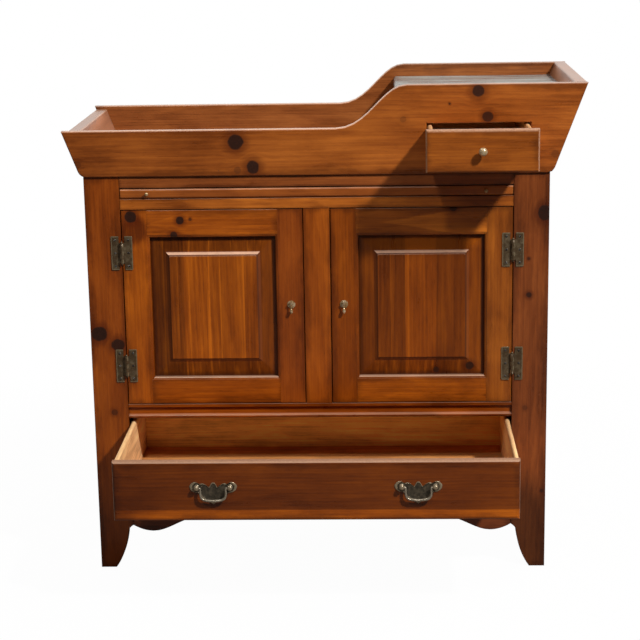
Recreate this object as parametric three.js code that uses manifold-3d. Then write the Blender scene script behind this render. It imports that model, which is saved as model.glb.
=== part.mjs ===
// Dry sink cabinet: a pine case with two panelled doors, a pull-out board and a long drawer, under a
// canted tray with a low well on the left and a raised deck over a small drawer on the right.
// Millimetres. X runs to the right, Y to the back and Z up. The case's front face lies on Y = 0 and its
// feet on Z = 0 until the last lines move the whole cabinet over the origin.
import * as THREE from "three";
import { mergeVertices } from "three/addons/utils/BufferGeometryUtils.js";
import loadManifold from "manifold-3d";

const kernel = await loadManifold();
kernel.setup();

// Clearances
const SEAM = 0.3; // between pieces that are glued, nailed or screwed to each other, or slide on each other
const DOOR_GAP = 1.6; // all round each door
const DRAWER_SIDE_GAP = 3; // beside the long drawer's front
const DRAWER_BOTTOM_GAP = 1.5; // under the long drawer's front
const DRAWER_TOP_GAP = 7.5; // over the long drawer's front, which sags a little when it is open
const BOX_PLAY = 2; // between a drawer's box and what guides it
const BOARD_PLAY = 1.5; // beside and over the pull-out board
const KNUCKLE_PLAY = 0.4; // between hinge knuckles, and round hinge pins
const PIVOT_PLAY = 0.3; // round the pins of the pulls

// Case
const CASE_WIDTH = 1080;
const CASE_DEPTH = 520;
const FRAME_THICKNESS = 22;
const STILE_WIDTH = 82.5;
const CENTRE_STILE_WIDTH = 61.5;
const SIDE_THICKNESS = 20;
const BACK_THICKNESS = 10;
const BACK_INSET = 2;
const BACK_FOOT = 100; // the back panel stops this far over the floor
const SHELF_THICKNESS = 18; // case bottom, cupboard floor and the panel under the pull-out board
const GUIDE_WIDTH = 20;
const GUIDE_HEIGHT = 30;
const EDGE_ROUND = 1.2; // sanded edges of the frame

// Heights up the front frame, from the floor
const APRON_TOP = 231.5;
const DRAWER_OPENING = 147.5;
const WAIST_RAIL = 36;
const DOOR_OPENING = 471;
const BOARD_RAIL = 25;
const BOARD_SLOT = 26;
const TOP_RAIL = 26.4;

// Waist rail moulding: a flush fillet over a hollow, with a round nose along the lower edge
const FILLET_HEIGHT = 8.5;
const HOLLOW_DEPTH = 7;
const HOLLOW_STEP = 1.5;
const NOSE_RADIUS = 4.5;

// Feet and apron
const CUSP_HEIGHT = 108.5;
const FOOT_TIP = 37;
const SHOULDER_INSET = 12;
const SHOULDER_DROP = 12;
const APRON_STRAIGHT = 134; // height of the apron's straight lower edge
const LOBE_HEIGHT = 93.5;
const LOBE_CENTRE = 50; // from the stile's inner edge
const LOBE_END = 192; // from the stile's inner edge, where the apron's edge is straight again
const SIDE_FOOT = 40;
const SIDE_FOOT_ROOT = 72;
const SIDE_ARCH = 104;
const FOOT_WAIST_SHARES = [0.185, 0.39]; // control point, of the foot's inward sweep and of its height
const CUSP_SHARES = [0.33, 0.62]; // control point, of the shoulder's inset and of its drop
const LOBE_SHARES = [0.5, 0.29, 0.49]; // control points, of the lobe's two flanks

// Doors
const DOOR_THICKNESS = 22;
const DOOR_FRAME = 65;
const STICK_WIDTH = 6;
const STICK_DEPTH = 5;
const QUIRK = 0.9;
const GROOVE_DEPTH = 9;
const GROOVE_FRONT = 12;
const GROOVE_WIDTH = 6;
const TONGUE = 7.6;
const BEVEL_WIDTH = 35.6;
const BEVEL_RISE = 3.4;
const FIELD_SLOPE_WIDTH = 9; // the steep slope round the panel's raised field
const FIELD_SLOPE_RISE = 5.5;

// Hinges: a tall plate on each side of a shorter barrel
const LEAF_WIDTH = 25;
const LEAF_HEIGHT = 80;
const LEAF_THICKNESS = 2;
const LEAF_NECK = 7;
const LEAF_CORNER = 2.5;
const BARREL_HEIGHT = 48;
const KNUCKLE_RADIUS = 4.5;
const KNUCKLES = 5;
const PIN_RADIUS = 2.1;
const FINIAL_RADIUS = 3.1;
const HINGE_FROM_TOP = 102; // hinge centre to the top of the door opening
const HINGE_FROM_BOTTOM = 95.5;

// Drop pulls on the doors
const DROP_HEIGHT = 657; // over the floor
const DROP_FROM_EDGE = 29.6; // to the door's free edge
const ROSE_RADIUS = 9.5;
const ROSE_THICKNESS = 2.6;
const FORK_RADIUS = 3.4;
const FORK_LENGTH = 10;
const FORK_SLOT = 3.2;
const DROP_PIVOT_OUT = 8;
const DROP_PIVOT_UP = 5;
const DROP_PIN_RADIUS = 0.95;
const DROP_TONGUE = 2.6;
const DROP_TONGUE_DEPTH = 3;
const DROP_NECK_RADIUS = 1.5;
const DROP_LENGTH = 27;
const DROP_RADIUS = 3.9;
const DROP_BULB_SHARES = [0.18, 0.45, 0.72, 0.9]; // heights down the drop: neck, waist, belly and toe
const DROP_TOE_SHARE = 0.6; // radius at the toe, of the belly's

// Pull-out board
const BOARD_BACK_GAP = 38; // behind the closed board, to the back panel
const BOARD_EDGE = 6;
const BOARD_KNOB_INSET = 64; // from the stile
const BOARD_KNOB_RADIUS = 4.5;
const BOARD_KNOB_LENGTH = 9;

// Long drawer
const DRAWER_PULL = 312; // how far it is open at rest
const DRAWER_BACK_GAP = 10; // behind the closed drawer, to the back panel
const DRAWER_FRONT = 20;
const DRAWER_SIDE = 11;
const DRAWER_SIDE_INSET = 1.5; // the side's outer face, in from the front board's end
const DRAWER_SIDE_DROP = 2; // the sides' top, under the front board's top
const DRAWER_BACK = 12;
const DRAWER_BACK_DROP = 7;
const DRAWER_BOTTOM = 6;
const BOTTOM_LIFT = 13; // underside of the bottom over the sides' lower edge
const BOTTOM_GROOVE = 5;
const DRAWER_EDGE = 7; // rounding round the front board's face

// Bail pulls on the long drawer
const BAIL_INSET = 229; // from the stile
const BAIL_PIVOT_UNDER_TOP = 58.5; // pivot to the top of the drawer front
const PLATE_THICKNESS = 1.6;
const PLATE_HALF = 53;
const PLATE_TOP = 12.3; // over the pivots
const PLATE_BOTTOM = 40; // under the pivots
const POST_SPACING = 75;
const POST_RADIUS = 6;
const POST_LENGTH = 13;
const BAIL_PIVOT_OUT = 8.5;
const BAIL_PIN_RADIUS = 2.1;
const BAIL_PIN_REACH = 6;
const BAIL_ARM_OUT = 28.4;
const BAIL_DROP = 30;
const BAIL_RADIUS = 2.4;
const BAIL_SWELL = 0.9;
// Half of the plate's outline from its top centre, as shares of its half width and of its top or bottom
const WING_TOP_SHARES = [
  [0, 0.9], [0.07, 0.78], [0.13, 0.35], [0.18, 0.02], [0.25, 0.2], [0.33, 0.5], [0.46, 0.76], [0.57, 0.62],
  [0.66, 0.8], [0.77, 1], [0.88, 0.88], [0.96, 0.55], [1, 0.25],
];
const WING_BOTTOM_SHARES = [
  [0.985, 0.06], [0.93, 0.19], [0.82, 0.28], [0.7, 0.31], [0.6, 0.37], [0.55, 0.47], [0.49, 0.6],
  [0.36, 0.73], [0.2, 0.84], [0, 1],
];
// Half of the bail's run from its arm to the middle of its bar, as shares of the arm's place and the drop
const BAIL_RUN_SHARES = [[1, 0], [1.01, 0.22], [1.0, 0.5], [0.93, 0.75], [0.7, 0.93], [0.35, 0.99]];

// Tray
const TRAY_THICKNESS = 22;
const TRAY_PROUD = 6; // its front board past the case's front
const END_THICKNESS = 26;
const TRAY_OVERHANG = 6.2; // past the case at each end, along the tray's lower edge
const TRAY_CANT = THREE.MathUtils.degToRad(20.6);
const TRAY_LOW = 107.7;
const TRAY_HIGH = 205.9;
const END_DROP = 8.5; // the low end board stops this far under the low edge
const STEP_GAP = 44.5; // head of the step to the small drawer's opening
const STEP_RUN = 164;
const STEP_SHARES = [0.46, 0.36]; // how long the step's foot and head curves reach, of its run
const TRAY_CORNER = 16;
const TRAY_ROUND = 3.2;
const WELL_FLOOR = 18;
const DECK_THICKNESS = 16;
const DECK_DROP = 31; // deck's top under the high edge
const DECK_EDGE = 7; // rounding along the deck's left edge
const DIVIDER_THICKNESS = 16; // its face is flush with the deck's left edge
const DIVIDER_GAP = 34.5; // to the small drawer's nearest guide
const DIVIDER_HOUSING = 6; // depth of the groove in the well's floor that it stands in

// Small drawer in the tray's front
const SMALL_PULL = 149; // how far it is open at rest
const SMALL_INSET = 45.5; // its opening to the case's right side
const SMALL_WIDTH = 238;
const SMALL_HEIGHT = 83.5;
const SMALL_UP = 33.4; // its opening over the tray's lower edge
const SMALL_LIP = 6.5;
const SMALL_LIP_THICKNESS = 10;
const SMALL_BODY_THICKNESS = 10;
const SMALL_FRONT_EDGE = 5.5;
const SMALL_BACK_GAP = 38; // behind the closed drawer, to the tray's back board
const SMALL_SIDE_DROP = 4; // the sides' top under the opening's top
const SMALL_BACK_DROP = 6;
const KNOB_RADIUS = 9.8;
const KNOB_LENGTH = 22;
const KNOB_NECK_RADIUS = 4;
const KNOB_NECK_SHARE = 0.42; // of its length
const KNOB_RIM_SHARE = 0.25; // widest place, over the neck, as a share of the radius

// Modelling
const WELD = 0.0001;
const OVERRUN = 5; // how far a cutting tool passes what it cuts
const ROUND_STEPS = 3;
const CURVE_STEPS = 10;
const TURN_STEPS = 20;
const SMALL_TURN_STEPS = 12;
const BAIL_STEPS = 28;
const BAIL_SIDES = 8;

// Sizes that follow
const halfCase = CASE_WIDTH / 2;
const halfOpening = halfCase - STILE_WIDTH;
const waistBottom = APRON_TOP + DRAWER_OPENING;
const waistTop = waistBottom + WAIST_RAIL;
const doorTop = waistTop + DOOR_OPENING;
const boardBottom = doorTop + BOARD_RAIL;
const boardTop = boardBottom + BOARD_SLOT;
const caseTop = boardTop + TOP_RAIL;
const insideFront = FRAME_THICKNESS + SEAM;
const backFront = CASE_DEPTH - BACK_INSET - BACK_THICKNESS;
const halfInside = halfCase - SIDE_THICKNESS;
const trayBottom = caseTop + SEAM;
const trayLowTop = caseTop + TRAY_LOW;
const trayHighTop = caseTop + TRAY_HIGH;
const traySlope = Math.tan(TRAY_CANT);
const endAcross = END_THICKNESS / Math.cos(TRAY_CANT);
const trayInsideFront = TRAY_THICKNESS - TRAY_PROUD + SEAM;
const trayInsideBack = CASE_DEPTH - TRAY_THICKNESS - SEAM;
const wellTop = trayBottom + WELL_FLOOR;
const deckTop = trayHighTop - DECK_DROP;
const deckBottom = deckTop - DECK_THICKNESS;
const smallBottom = caseTop + SMALL_UP;
const smallBoxBottom = smallBottom + BOX_PLAY;
const smallRight = halfCase - SMALL_INSET;
const smallLeft = smallRight - SMALL_WIDTH;
const stepStart = smallLeft - STEP_GAP - STEP_RUN;
const deckLeft = smallLeft - GUIDE_WIDTH - DIVIDER_GAP - DIVIDER_THICKNESS;

// Materials
const stainedPine = new THREE.MeshStandardMaterial({ color: "#8a4a1e", roughness: 0.42 });
const darkPine = new THREE.MeshStandardMaterial({ color: "#6b3617", roughness: 0.45 });
const palePine = new THREE.MeshStandardMaterial({ color: "#d9a26c", roughness: 0.6 });
const agedBrass = new THREE.MeshStandardMaterial({ color: "#4a3b2a", roughness: 0.45, metalness: 0.9 });
const brightBrass = new THREE.MeshStandardMaterial({ color: "#b08d57", roughness: 0.3, metalness: 1 });

// Closed surface to boolean solid, and back
function solid(geometry) {
  const plain = geometry.clone();
  plain.deleteAttribute("normal");
  plain.deleteAttribute("uv");
  const welded = mergeVertices(plain, WELD);
  const mesh = new kernel.Mesh({
    numProp: 3,
    vertProperties: Float32Array.from(welded.attributes.position.array),
    triVerts: Uint32Array.from(welded.index.array),
  });
  return new kernel.Manifold(mesh);
}

function surface(body) {
  const mesh = body.getMesh();
  const geometry = new THREE.BufferGeometry();
  const places = Float32Array.from(mesh.vertProperties);
  geometry.setAttribute("position", new THREE.BufferAttribute(places, 3));
  geometry.setIndex(new THREE.BufferAttribute(Uint32Array.from(mesh.triVerts), 1));
  return geometry;
}

function join(...geometries) {
  return surface(geometries.map(solid).reduce((whole, next) => whole.add(next)));
}

function cut(geometry, ...tools) {
  return surface(tools.map(solid).reduce((rest, tool) => rest.subtract(tool), solid(geometry)));
}

// Copy reflected in the YZ plane, with its faces turned to point outward again
function mirrored(geometry) {
  const copy = mergeVertices(geometry.clone(), WELD);
  copy.scale(-1, 1, 1);
  const corners = copy.index.array;
  for (let i = 0; i < corners.length; i += 3) {
    [corners[i], corners[i + 1]] = [corners[i + 1], corners[i]];
  }
  copy.deleteAttribute("normal");
  return copy;
}

// One side's piece, drawn for the left: kept for side 1 and reflected for side -1
function onSide(geometry, side) {
  return side > 0 ? geometry : mirrored(geometry);
}

function box(left, right, front, back, bottom, top) {
  const geometry = new THREE.BoxGeometry(right - left, back - front, top - bottom);
  return geometry.translate((left + right) / 2, (front + back) / 2, (bottom + top) / 2);
}

const alongXBasis = new THREE.Matrix4().makeBasis(
  new THREE.Vector3(0, 1, 0), new THREE.Vector3(0, 0, 1), new THREE.Vector3(1, 0, 0),
);
const alongYBasis = new THREE.Matrix4().makeBasis(
  new THREE.Vector3(1, 0, 0), new THREE.Vector3(0, 0, 1), new THREE.Vector3(0, -1, 0),
);

function extruded(outline, depth) {
  return new THREE.ExtrudeGeometry(outline, { depth, bevelEnabled: false, curveSegments: CURVE_STEPS });
}

// Outline in Y and Z, drawn out along X
function alongX(outline, left, right) {
  return extruded(outline, right - left).applyMatrix4(alongXBasis).translate(left, 0, 0);
}

// Outline in X and Z, drawn out along Y
function alongY(outline, front, back) {
  return extruded(outline, back - front).applyMatrix4(alongYBasis).translate(0, back, 0);
}

// Outline in X and Y, drawn out along Z
function alongZ(outline, bottom, top) {
  return extruded(outline, top - bottom).translate(0, 0, bottom);
}

// Board with an outline in X and Z whose front edges are rounded
function facedBoard(outline, front, back, radius) {
  const depth = back - front - radius + OVERRUN;
  const geometry = new THREE.ExtrudeGeometry(outline, {
    depth,
    bevelThickness: radius,
    bevelSize: radius,
    bevelOffset: -radius,
    bevelSegments: ROUND_STEPS,
    curveSegments: CURVE_STEPS,
  });
  geometry.applyMatrix4(alongYBasis).translate(0, front + depth + radius, 0);
  geometry.computeBoundingBox();
  const { min, max } = geometry.boundingBox;
  const behind = box(
    min.x - OVERRUN, max.x + OVERRUN, back, max.y + OVERRUN, min.z - OVERRUN, max.z + OVERRUN,
  );
  return cut(geometry, behind);
}

function outline(points) {
  return new THREE.Shape(points.map(([across, up]) => new THREE.Vector2(across, up)));
}

function rectangle(left, right, bottom, top) {
  return outline([[left, bottom], [right, bottom], [right, top], [left, top]]);
}

// Section of a board in depth and height, or depth and width, with its two front edges rounded
function boardSection(front, back, low, high, radius) {
  const shape = new THREE.Shape();
  shape.moveTo(back, low);
  shape.lineTo(back, high);
  shape.lineTo(front + radius, high);
  shape.absarc(front + radius, high - radius, radius, Math.PI / 2, Math.PI, false);
  shape.absarc(front + radius, low + radius, radius, Math.PI, Math.PI * 1.5, false);
  return shape;
}

function cylinderAlongX(radius, left, right, steps) {
  const geometry = new THREE.CylinderGeometry(radius, radius, right - left, steps);
  return geometry.rotateZ(Math.PI / 2).translate((left + right) / 2, 0, 0);
}

function cylinderAlongZ(radius, bottom, top, steps) {
  const geometry = new THREE.CylinderGeometry(radius, radius, top - bottom, steps);
  return geometry.rotateX(Math.PI / 2).translate(0, 0, (bottom + top) / 2);
}

// Turned piece standing out to the front: its profile is radius against length from the back
function turnedOut(profile, steps) {
  const points = profile.map(([radius, length]) => new THREE.Vector2(radius, length));
  return new THREE.LatheGeometry(points, steps).rotateX(Math.PI);
}

function piece(parent, name, geometry, material) {
  const faceted = geometry.index ? geometry.toNonIndexed() : geometry;
  faceted.computeVertexNormals();
  const mesh = new THREE.Mesh(faceted, material);
  mesh.name = name;
  parent.add(mesh);
  return mesh;
}

function group(parent, x, y, z) {
  const node = new THREE.Group();
  node.position.set(x, y, z);
  parent.add(node);
  return node;
}

// Front stile with its foot: the inner edge runs down to a cusp, a shoulder and an inward sweep
function stileBoard() {
  const inner = -halfOpening;
  const tip = -halfCase + FOOT_TIP;
  const shoulder = inner - SHOULDER_INSET;
  const shoulderHeight = CUSP_HEIGHT - SHOULDER_DROP;
  const shape = new THREE.Shape();
  shape.moveTo(-halfCase, 0);
  shape.lineTo(tip, 0);
  shape.quadraticCurveTo(
    shoulder + (tip - shoulder) * FOOT_WAIST_SHARES[0], shoulderHeight * FOOT_WAIST_SHARES[1],
    shoulder, shoulderHeight,
  );
  shape.quadraticCurveTo(
    shoulder + SHOULDER_INSET * CUSP_SHARES[0], shoulderHeight + SHOULDER_DROP * CUSP_SHARES[1],
    inner, CUSP_HEIGHT,
  );
  shape.lineTo(inner, caseTop);
  shape.lineTo(-halfCase, caseTop);
  return facedBoard(shape, 0, FRAME_THICKNESS, EDGE_ROUND);
}

// Apron between the feet: a lobe hangs by each stile and the middle is straight
function apronBoard() {
  const end = halfOpening - SEAM;
  const lobe = halfOpening - LOBE_CENTRE;
  const straight = halfOpening - LOBE_END;
  const [endShare, lowShare, highShare] = LOBE_SHARES;
  const flank = lobe - straight;
  const shape = new THREE.Shape();
  shape.moveTo(-end, APRON_TOP);
  shape.lineTo(-end, CUSP_HEIGHT);
  shape.quadraticCurveTo(-lobe - LOBE_CENTRE * endShare, LOBE_HEIGHT, -lobe, LOBE_HEIGHT);
  shape.bezierCurveTo(
    -lobe + flank * lowShare, LOBE_HEIGHT, -straight - flank * highShare, APRON_STRAIGHT,
    -straight, APRON_STRAIGHT,
  );
  shape.lineTo(straight, APRON_STRAIGHT);
  shape.bezierCurveTo(
    straight + flank * highShare, APRON_STRAIGHT, lobe - flank * lowShare, LOBE_HEIGHT, lobe, LOBE_HEIGHT,
  );
  shape.quadraticCurveTo(lobe + LOBE_CENTRE * endShare, LOBE_HEIGHT, end, CUSP_HEIGHT);
  shape.lineTo(end, APRON_TOP);
  return facedBoard(shape, 0, FRAME_THICKNESS, EDGE_ROUND);
}

// Rail under the doors
function waistRail() {
  const hollowTop = waistTop - FILLET_HEIGHT;
  const noseTop = waistBottom + NOSE_RADIUS * 2;
  const shape = new THREE.Shape();
  shape.moveTo(FRAME_THICKNESS, waistBottom);
  shape.lineTo(FRAME_THICKNESS, waistTop);
  shape.lineTo(EDGE_ROUND, waistTop);
  shape.lineTo(0, waistTop - EDGE_ROUND);
  shape.lineTo(0, hollowTop + EDGE_ROUND);
  shape.lineTo(EDGE_ROUND, hollowTop);
  shape.lineTo(HOLLOW_DEPTH, hollowTop - HOLLOW_STEP);
  shape.quadraticCurveTo(HOLLOW_DEPTH, noseTop, NOSE_RADIUS, noseTop);
  shape.absarc(NOSE_RADIUS, waistBottom + NOSE_RADIUS, NOSE_RADIUS, Math.PI / 2, Math.PI * 1.5, false);
  const end = halfOpening - SEAM;
  return alongX(shape, -end, end);
}

function frameRail(bottom, top) {
  const end = halfOpening - SEAM;
  return alongX(boardSection(0, FRAME_THICKNESS, bottom, top, EDGE_ROUND), -end, end);
}

function centreStile() {
  const half = CENTRE_STILE_WIDTH / 2;
  const shape = new THREE.Shape();
  shape.moveTo(-half, FRAME_THICKNESS);
  shape.lineTo(-half, EDGE_ROUND);
  shape.absarc(-half + EDGE_ROUND, EDGE_ROUND, EDGE_ROUND, Math.PI, Math.PI * 1.5, false);
  shape.absarc(half - EDGE_ROUND, EDGE_ROUND, EDGE_ROUND, Math.PI * 1.5, Math.PI * 2, false);
  shape.lineTo(half, FRAME_THICKNESS);
  return alongZ(shape, waistTop + SEAM, doorTop - SEAM);
}

// Side of the case, with an arch between its front and rear feet
function sidePanel() {
  const shape = new THREE.Shape();
  shape.moveTo(insideFront, 0);
  shape.lineTo(insideFront + SIDE_FOOT, 0);
  shape.quadraticCurveTo(insideFront + SIDE_FOOT_ROOT, 0, insideFront + SIDE_FOOT_ROOT, SIDE_ARCH);
  shape.lineTo(CASE_DEPTH - SIDE_FOOT_ROOT, SIDE_ARCH);
  shape.quadraticCurveTo(CASE_DEPTH - SIDE_FOOT_ROOT, 0, CASE_DEPTH - SIDE_FOOT, 0);
  shape.lineTo(CASE_DEPTH, 0);
  shape.lineTo(CASE_DEPTH, caseTop);
  shape.lineTo(insideFront, caseTop);
  return alongX(shape, -halfCase, -halfInside);
}

function shelf(top) {
  const end = halfInside - SEAM;
  return box(-end, end, insideFront, backFront - SEAM, top - SHELF_THICKNESS, top);
}

// Case bottom, on which the long drawer slides between two guide strips
function caseBottom() {
  const guide = halfOpening - DRAWER_SIDE_GAP - DRAWER_SIDE_INSET + BOX_PLAY;
  const strips = [-1, 1].map((side) => {
    const ends = [side * guide, side * (guide + GUIDE_WIDTH)].sort((a, b) => a - b);
    return box(
      ...ends, insideFront, backFront - SEAM, APRON_TOP - SHELF_THICKNESS / 2, APRON_TOP + GUIDE_HEIGHT,
    );
  });
  return join(shelf(APRON_TOP), ...strips);
}

function buildCase(parent) {
  for (const [name, side] of [["left", 1], ["right", -1]]) {
    piece(parent, `${name}_front_stile`, onSide(stileBoard(), side), stainedPine);
    piece(parent, `${name}_side_panel`, onSide(sidePanel(), side), stainedPine);
  }
  piece(parent, "centre_stile", centreStile(), stainedPine);
  piece(parent, "top_rail", frameRail(boardTop, caseTop), stainedPine);
  piece(parent, "board_rail", frameRail(doorTop, boardBottom), stainedPine);
  piece(parent, "waist_rail", waistRail(), stainedPine);
  piece(parent, "apron", apronBoard(), stainedPine);
  const end = halfInside - SEAM;
  const back = box(-end, end, backFront, backFront + BACK_THICKNESS, BACK_FOOT, caseTop);
  piece(parent, "back_panel", back, darkPine);
  piece(parent, "board_shelf", shelf(boardBottom), palePine);
  piece(parent, "cupboard_floor", shelf(waistTop), stainedPine);
  piece(parent, "case_bottom", caseBottom(), palePine);
}

// Outline of the tray's front and back boards: canted ends and one ogee step
function trayOutline() {
  const foot = halfCase + TRAY_OVERHANG;
  const lowEnd = foot + TRAY_LOW * traySlope;
  const highEnd = foot + TRAY_HIGH * traySlope;
  const stepEnd = stepStart + STEP_RUN;
  const turn = TRAY_CORNER * Math.sin(TRAY_CANT);
  const rise = TRAY_CORNER * Math.cos(TRAY_CANT);
  const shape = new THREE.Shape();
  shape.moveTo(-foot + TRAY_CORNER, trayBottom);
  shape.lineTo(foot - TRAY_CORNER, trayBottom);
  shape.quadraticCurveTo(foot, trayBottom, foot + turn, trayBottom + rise);
  shape.lineTo(highEnd, trayHighTop);
  shape.lineTo(stepEnd, trayHighTop);
  shape.bezierCurveTo(
    stepEnd - STEP_RUN * STEP_SHARES[1], trayHighTop, stepStart + STEP_RUN * STEP_SHARES[0], trayLowTop,
    stepStart, trayLowTop,
  );
  shape.lineTo(-lowEnd, trayLowTop);
  shape.lineTo(-foot - turn, trayBottom + rise);
  shape.quadraticCurveTo(-foot, trayBottom, -foot + TRAY_CORNER, trayBottom);
  return shape;
}

// Board of the tray's outline, with the edges of both its faces rounded
function trayBoard(shape, front, back) {
  const geometry = new THREE.ExtrudeGeometry(shape, {
    depth: back - front - TRAY_ROUND * 2,
    bevelThickness: TRAY_ROUND,
    bevelSize: TRAY_ROUND,
    bevelOffset: -TRAY_ROUND,
    bevelSegments: ROUND_STEPS,
    curveSegments: CURVE_STEPS,
  });
  return geometry.applyMatrix4(alongYBasis).translate(0, back - TRAY_ROUND, 0);
}

function trayFront() {
  const shape = trayOutline();
  const opening = rectangle(smallLeft, smallRight, smallBottom, smallBottom + SMALL_HEIGHT);
  shape.holes.push(opening);
  return trayBoard(shape, -TRAY_PROUD, TRAY_THICKNESS - TRAY_PROUD);
}

function trayBack() {
  return trayBoard(trayOutline(), CASE_DEPTH - TRAY_THICKNESS, CASE_DEPTH);
}

// Inner face of the tray's end boards at a height, as a distance from the centre line
function trayInside(height) {
  return halfCase + TRAY_OVERHANG + (height - caseTop) * traySlope - endAcross;
}

// Canted end board, drawn for the left, with its upper edges rounded
function trayEnd(top) {
  const innerTop = trayInside(top);
  const innerBottom = trayInside(trayBottom);
  const shape = new THREE.Shape();
  shape.moveTo(-innerBottom, trayBottom);
  shape.lineTo(-innerTop + TRAY_ROUND * traySlope, top - TRAY_ROUND);
  shape.quadraticCurveTo(-innerTop, top, -innerTop - TRAY_ROUND, top);
  shape.lineTo(-innerTop - endAcross + TRAY_ROUND, top);
  shape.quadraticCurveTo(
    -innerTop - endAcross, top, -innerTop - endAcross + TRAY_ROUND * traySlope, top - TRAY_ROUND,
  );
  shape.lineTo(-innerBottom - endAcross, trayBottom);
  return alongY(shape, trayInsideFront, trayInsideBack);
}

// Runner and guide under and beside one side of the small drawer, as boxes standing on the well's floor
function smallRunner(inner, outer, guide) {
  const [left, right] = [inner, outer].sort((a, b) => a - b);
  const [guideLeft, guideRight] = [guide, outer].sort((a, b) => a - b);
  const low = wellTop - WELL_FLOOR / 2;
  const front = trayInsideFront;
  const back = trayInsideBack;
  return [
    box(left, right, front, back, low, smallBoxBottom - SEAM),
    box(guideLeft, guideRight, front, back, low, smallBoxBottom + GUIDE_WIDTH),
  ];
}

// Floor of the tray, cut to the canted ends, with the small drawer's two runners on it and a groove across
// it for the foot of the deck's divider
function wellFloor() {
  const low = trayInside(trayBottom) - SEAM;
  const high = trayInside(wellTop) - SEAM;
  const shape = outline([[-low, trayBottom], [low, trayBottom], [high, wellTop], [-high, wellTop]]);
  const floor = alongY(shape, trayInsideFront, trayInsideBack);
  const left = smallRunner(smallLeft + GUIDE_WIDTH, smallLeft - GUIDE_WIDTH, smallLeft);
  const right = smallRunner(smallRight - GUIDE_WIDTH, smallRight + GUIDE_WIDTH, smallRight);
  const groove = box(
    deckLeft - SEAM, deckLeft + DIVIDER_THICKNESS + SEAM,
    trayInsideFront - OVERRUN, trayInsideBack + OVERRUN, wellTop - DIVIDER_HOUSING, wellTop + OVERRUN,
  );
  return cut(join(floor, ...left, ...right), groove);
}

// Raised deck over the small drawer, its upper left edge rounded and its right end canted
function deckBoard() {
  const shape = new THREE.Shape();
  shape.moveTo(deckLeft, deckBottom);
  shape.lineTo(trayInside(deckBottom) - SEAM, deckBottom);
  shape.lineTo(trayInside(deckTop) - SEAM, deckTop);
  shape.lineTo(deckLeft + DECK_EDGE, deckTop);
  shape.absarc(deckLeft + DECK_EDGE, deckTop - DECK_EDGE, DECK_EDGE, Math.PI / 2, Math.PI, false);
  return alongY(shape, trayInsideFront, trayInsideBack);
}

function buildTray(parent) {
  piece(parent, "tray_front", trayFront(), stainedPine);
  piece(parent, "tray_back", trayBack(), stainedPine);
  piece(parent, "tray_left_end", trayEnd(trayLowTop - END_DROP), stainedPine);
  piece(parent, "tray_right_end", mirrored(trayEnd(trayHighTop)), stainedPine);
  piece(parent, "well_floor", wellFloor(), stainedPine);
  piece(parent, "deck", deckBoard(), stainedPine);
  const divider = box(
    deckLeft, deckLeft + DIVIDER_THICKNESS, trayInsideFront, trayInsideBack,
    wellTop - DIVIDER_HOUSING + SEAM, deckBottom - SEAM,
  );
  piece(parent, "deck_divider", divider, stainedPine);
}

// Section of a door's frame: across from its outer edge to the panel, deep from its face to its back.
// Grown outward by a seam, it is the tool that copes the rails' ends over the stiles.
function frameSection(grow) {
  const inner = DOOR_FRAME + grow;
  const quirk = QUIRK - grow;
  const grooveFloor = inner - GROOVE_DEPTH;
  const shape = new THREE.Shape();
  shape.moveTo(-grow, EDGE_ROUND - grow);
  shape.lineTo(EDGE_ROUND - grow, -grow);
  shape.lineTo(inner - STICK_WIDTH, -grow);
  shape.lineTo(inner - STICK_WIDTH, quirk);
  shape.quadraticCurveTo(inner, quirk, inner, quirk + STICK_DEPTH);
  shape.lineTo(inner, GROOVE_FRONT + grow);
  shape.lineTo(grooveFloor, GROOVE_FRONT + grow);
  shape.lineTo(grooveFloor, GROOVE_FRONT + GROOVE_WIDTH - grow);
  shape.lineTo(inner, GROOVE_FRONT + GROOVE_WIDTH - grow);
  shape.lineTo(inner, DOOR_THICKNESS + grow);
  shape.lineTo(-grow, DOOR_THICKNESS + grow);
  return shape;
}

const doorWidth = halfOpening - CENTRE_STILE_WIDTH / 2 - DOOR_GAP * 2;
const doorHeight = DOOR_OPENING - DOOR_GAP * 2;

// Door stile at the door's left edge, from the foot of the door to its top
function doorStile(grow) {
  const geometry = extruded(frameSection(grow), doorHeight + grow * 2);
  return geometry.translate(0, 0, -grow);
}

// Stile at the door's other edge
function farStile(grow) {
  return mirrored(doorStile(grow)).translate(doorWidth, 0, 0);
}

// Lower rail of a door, tenoned into the stiles' grooves and coped over their moulded edges
function doorRail() {
  const reach = DOOR_FRAME - GROOVE_DEPTH + SEAM;
  const turned = new THREE.Matrix4().makeBasis(
    new THREE.Vector3(0, 0, 1), new THREE.Vector3(0, 1, 0), new THREE.Vector3(-1, 0, 0),
  );
  const bar = extruded(frameSection(0), doorWidth - reach * 2).applyMatrix4(turned);
  bar.translate(doorWidth - reach, 0, 0);
  return cut(bar, doorStile(SEAM), farStile(SEAM));
}

// Upper rail: the lower one turned over, top for bottom
function upperRail() {
  const rail = doorRail().rotateY(Math.PI);
  return rail.translate(doorWidth, 0, doorHeight);
}

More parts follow.
